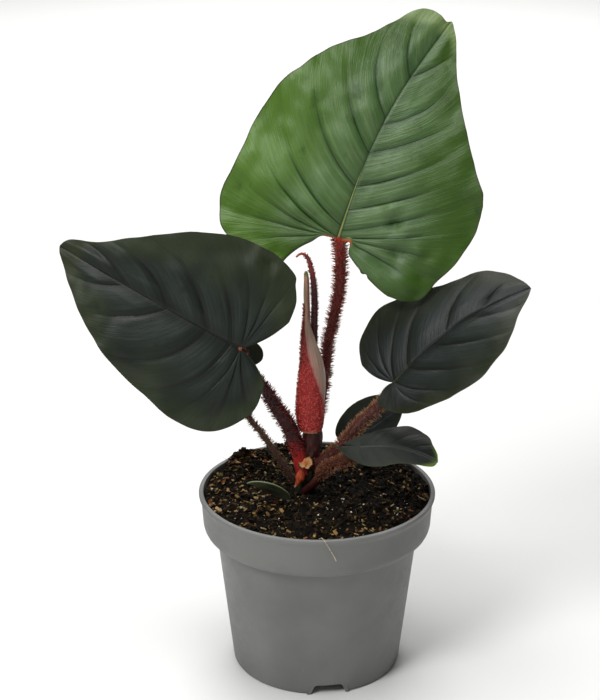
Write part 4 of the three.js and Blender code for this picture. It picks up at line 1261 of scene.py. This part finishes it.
def soilTop(x, y):
    heap = 3 * math.exp(-((x + 36) ** 2 + (y - 36) ** 2) / 260)
    heap += sum(0.55 * rise * math.exp(-((x - px) ** 2 + (y - py) ** 2) / 14) for px, py, rise in soil["piles"])
    crown = 0.8 * math.exp(-((x + 6) ** 2 + (y - 2) ** 2) / 160)
    crumbs = 0.7 * math.sin(0.31 * x + 0.7) * math.cos(0.27 * y) + 0.5 * math.sin(0.53 * x - 0.41 * y)
    return soil["height"] + soil["slope"] * y + heap + crown + crumbs


def soilLumps(x, y):
    lumps = sum(size * noise.noise(Vector((x / pitch, y / pitch, pitch))) for pitch, size in soil["lumps"])
    return lumps * min(1, (soil["reach"] + 0.5 - math.hypot(x, y)) / 4)


def makeSoilBed(settings):
    clearSelection()
    bpy.ops.mesh.primitive_grid_add(x_subdivisions=settings["cells"], y_subdivisions=settings["cells"], size=2)
    bed = nameActive("soil_bed")
    for vertex in bed.data.vertices:
        a, b = vertex.co.x, vertex.co.y
        x = settings["reach"] * a * math.sqrt(1 - b * b / 2)
        y = settings["reach"] * b * math.sqrt(1 - a * a / 2)
        vertex.co = Vector((x, y, soilTop(x, y) + soilLumps(x, y))) * mm
    bpy.ops.object.mode_set(mode="EDIT")
    bpy.ops.mesh.select_mode(type="EDGE")
    bpy.ops.mesh.select_all(action="DESELECT")
    bpy.ops.mesh.select_non_manifold()
    radius = settings["reach"]
    for nextRadius, height in settings["sides"]:
        bpy.ops.mesh.extrude_edges_move()
        scale = nextRadius / radius
        bpy.ops.transform.resize(value=(scale, scale, 0), center_override=(0, 0, height * mm))
        radius = nextRadius
    bpy.ops.mesh.edge_face_add()
    bpy.ops.mesh.select_all(action="SELECT")
    bpy.ops.mesh.normals_make_consistent(inside=False)
    bpy.ops.mesh.select_mode(type="VERT")
    bpy.ops.object.mode_set(mode="OBJECT")
    smoothen(bed, 80)
    return bed


def makeLump(name, bit):  # a rough bit from a cube, rounded and shaken
    clearSelection()
    bpy.ops.mesh.primitive_cube_add(size=1.5)
    lump = nameActive(name)
    editMesh(lump, (bpy.ops.mesh.subdivide, {"number_cuts": bit["cuts"]}),
             (bpy.ops.mesh.vertices_smooth, {"factor": 0.6}))
    draw = random.Random(bit["seed"])
    for vertex in lump.data.vertices:
        shake = Vector((draw.uniform(-1, 1), draw.uniform(-1, 1), draw.uniform(-1, 1))) * bit["shake"]
        vertex.co = Vector((a * b for a, b in zip(vertex.co + shake, bit["stretch"])))
    return lump


def scatter(original, bit, name, draw):
    places, rimClear, lean = [], 1.2, 0.7
    while len(places) < bit["count"]:
        x, y = bit["where"](draw)
        if math.hypot(x, y) > soil["reach"] - rimClear:
            continue
        size = draw.uniform(*bit["sizes"]) * (0.6 + 0.8 * draw.random() ** 2)
        height = soilTop(x, y) + soilLumps(x, y) + size * (draw.random() - bit["sink"])
        turn = Matrix.Rotation(draw.uniform(0, 6.28), 4, "Z")
        for axis in ("X", "Y"):
            turn = turn @ Matrix.Rotation(draw.uniform(-lean, lean), 4, axis)
        places.append(Matrix.Translation(Vector((x, y, height)) * mm) @ turn @ Matrix.Scale(size * mm, 4))
    copies = copyInPlaces(original, places, name, [draw.random() for place in places])
    bpy.data.objects.remove(original)
    return copies


def anywhere(draw):
    angle, reach = draw.uniform(0, 2 * math.pi), soil["reach"] * math.sqrt(draw.random())
    return reach * math.cos(angle), reach * math.sin(angle)


def pileGround(draw):  # the crumbs heaped against the back rim
    x, y = draw.choice(soil["piles"])[:2]
    return draw.gauss(x, 2.6), draw.gauss(y, 2.2)


def chipGround(draw):  # thickest by the left and front rim
    while True:
        x, y = anywhere(draw)
        nearRim = math.hypot(x, y) / soil["reach"]
        if draw.random() < 0.12 + 0.6 * nearRim ** 3 + 0.8 * (x < -14 and y > -25) * nearRim:
            return x, y


def makeFibre(name, seed):
    draw = random.Random(seed)
    path = []
    for t in (0, 0.25, 0.5, 0.75, 1):
        sideways, lift = draw.uniform(-0.18, 0.18), draw.uniform(-0.05, 0.05)
        path.append(Vector((t * 2 - 1, sideways, 0.22 * math.sin(math.pi * t) + lift)) / mm)
    return makeTube(name, path, (14, 18, 12), steps=8, roundness=0)[0]


def tintMaterial(name, shades, roughness):  # shades spread over each copy's own tint
    material, shader = newMaterial(name)
    grain = cloudy(objectPlace(shader), soil["grain"], 3)
    tint = pointValue(shader, "tint")
    body = shades[0]
    for i, code in enumerate(shades[1:]):
        low = (i + 0.5) / len(shades)
        body = mixed(spread(tint, low, low + 0.6 / len(shades)), body, code)
    body = mixed(spread(grain, 0.45, 0.75, 0.0, 0.6), body, soil["grit"])
    paint(shader, body, roughness, soil["specular"])
    bumpy(shader, grain, 0.0003)
    return material


def soilBedMaterial(settings):
    material, shader = newMaterial("soil_bed")
    place = objectPlace(shader)
    coarse = cloudy(place, settings["coarse"], 4)
    fine = cloudy(place, settings["fine"], 4)
    body = mixed(spread(coarse, 0.4, 0.7), settings["bed"], settings["bedPale"])
    body = mixed(spread(fine, 0.56, 0.75, 0.0, 0.8), body, settings["bedFleck"])
    paint(shader, body, settings["bedRoughness"], settings["bedSpecular"])
    bumpy(shader, fine, 0.0008)
    return material


soilBits = {  # sink is how deep a bit lies, by its size
    "soil_crumbs": {
        "skin": "soil_crumb", "stretch": (1, 0.85, 0.75), "cuts": 1, "shake": 0.22, "seed": 3, "count": 3400,
        "sizes": (0.3, 1.25), "where": anywhere, "sink": 0.25, "roughness": 0.85,
        "shades": ("#060503", "#0e0a06", "#171109", "#221a0d", "#302412"),
    },
    "soil_piles": {
        "skin": "pile_crumb", "stretch": (1, 0.8, 0.7), "cuts": 1, "shake": 0.28, "seed": 4, "count": 260,
        "sizes": (0.5, 1.3), "where": pileGround, "sink": -0.6, "roughness": 0.85,
        "shades": ("#0e0a07", "#1e150d", "#3a2a18"),
    },
    "bark_chips": {
        "skin": "bark_chip", "stretch": (1.5, 0.7, 0.32), "cuts": 2, "shake": 0.12, "seed": 5, "count": 1150,
        "sizes": (0.35, 1.25), "where": chipGround, "sink": 0.1, "roughness": 0.75,
        "shades": ("#2a1a0e", "#4c3218", "#5c5228", "#7c6238", "#9a7c4c", "#6e3a1c", "#b0946a"),
    },
    "perlite_grains": {
        "skin": "perlite_grain", "stretch": (1, 0.9, 0.8), "cuts": 2, "shake": 0.1, "seed": 7, "count": 110,
        "sizes": (0.25, 0.6), "where": anywhere, "sink": 0.0, "roughness": 0.7,
        "shades": ("#8f8a6a", "#c9c2a4", "#e6e0cc"),
    },
    "soil_fibres": {
        "skin": "soil_fibre", "seed": 11, "count": 260, "sizes": (1, 3.6), "where": anywhere, "sink": -0.02,
        "roughness": 0.7, "shades": ("#2c1b10", "#5a3a20", "#9a7448"),
    },
}
hand(makeSoilBed(soil), "soil", "soil", finish=soilBedMaterial(soil))
draw = random.Random(9)
for name, bit in soilBits.items():
    original = makeLump(bit["skin"], bit) if "stretch" in bit else makeFibre(bit["skin"], bit["seed"])
    piece = scatter(original, bit, name, draw)
    smoothen(piece)
    hand(piece, "soil", finish=tintMaterial(bit["skin"], bit["shades"], bit["roughness"]))
strayFibre = makeTube("stray_fibre", soil["strayFibre"], soil["strayRadius"], steps=40, roundness=1)[0]
smoothen(strayFibre)
hand(strayFibre, "soil", finish=tintMaterial("stray_fibre", soil["strayShades"], 0.6))
print("soil: bed, crumbs, chips, grains and fibres made")


# Studio: a pale floor, a bright world and soft lights
studio = {
    "floor": "#e4e4e2", "floorSize": 12, "floorHeight": -0.0004, "world": (1, 1, 1, 1), "worldStrength": 0.14,
    "lights": {  # place, what it is aimed at, width and power
        "key": ((-0.95, -1.1, 1.6), (0, 0, 0.16), 0.7, 23.5), "fill": ((1.5, -0.9, 0.8), (0, 0, 0.16), 1.2, 0.2),
        "top": ((-0.1, -0.1, 1.9), (0, 0, 0.16), 1.1, 22.0), "back": ((0.0, 2.3, 1.8), (0, 2.0, 0), 2.4, 56.0),
    },
}


def makeStudio(settings):
    clearSelection()
    bpy.ops.mesh.primitive_plane_add(size=settings["floorSize"], location=(0, 0, settings["floorHeight"]))
    floor = nameActive("studio_floor")
    material, shader = newMaterial("studio_floor")
    paint(shader, settings["floor"], 0.9)
    floor.data.materials.append(material)
    world = bpy.data.worlds.new("studio")
    world.use_nodes = True
    background = world.node_tree.nodes["Background"]
    background.inputs["Color"].default_value = settings["world"]
    background.inputs["Strength"].default_value = settings["worldStrength"]
    bpy.context.scene.world = world
    bpy.context.scene.view_settings.view_transform = "Standard"
    for name, (place, target, size, power) in settings["lights"].items():
        aim = (Vector(target) - Vector(place)).to_track_quat("-Z", "Y").to_euler()
        bpy.ops.object.light_add(type="AREA", location=place, rotation=aim)
        lamp = bpy.context.object
        lamp.name = lamp.data.name = "light_" + name
        lamp.data.shape = "DISK"
        lamp.data.size = size
        lamp.data.energy = power


makeStudio(studio)
print("studio made")
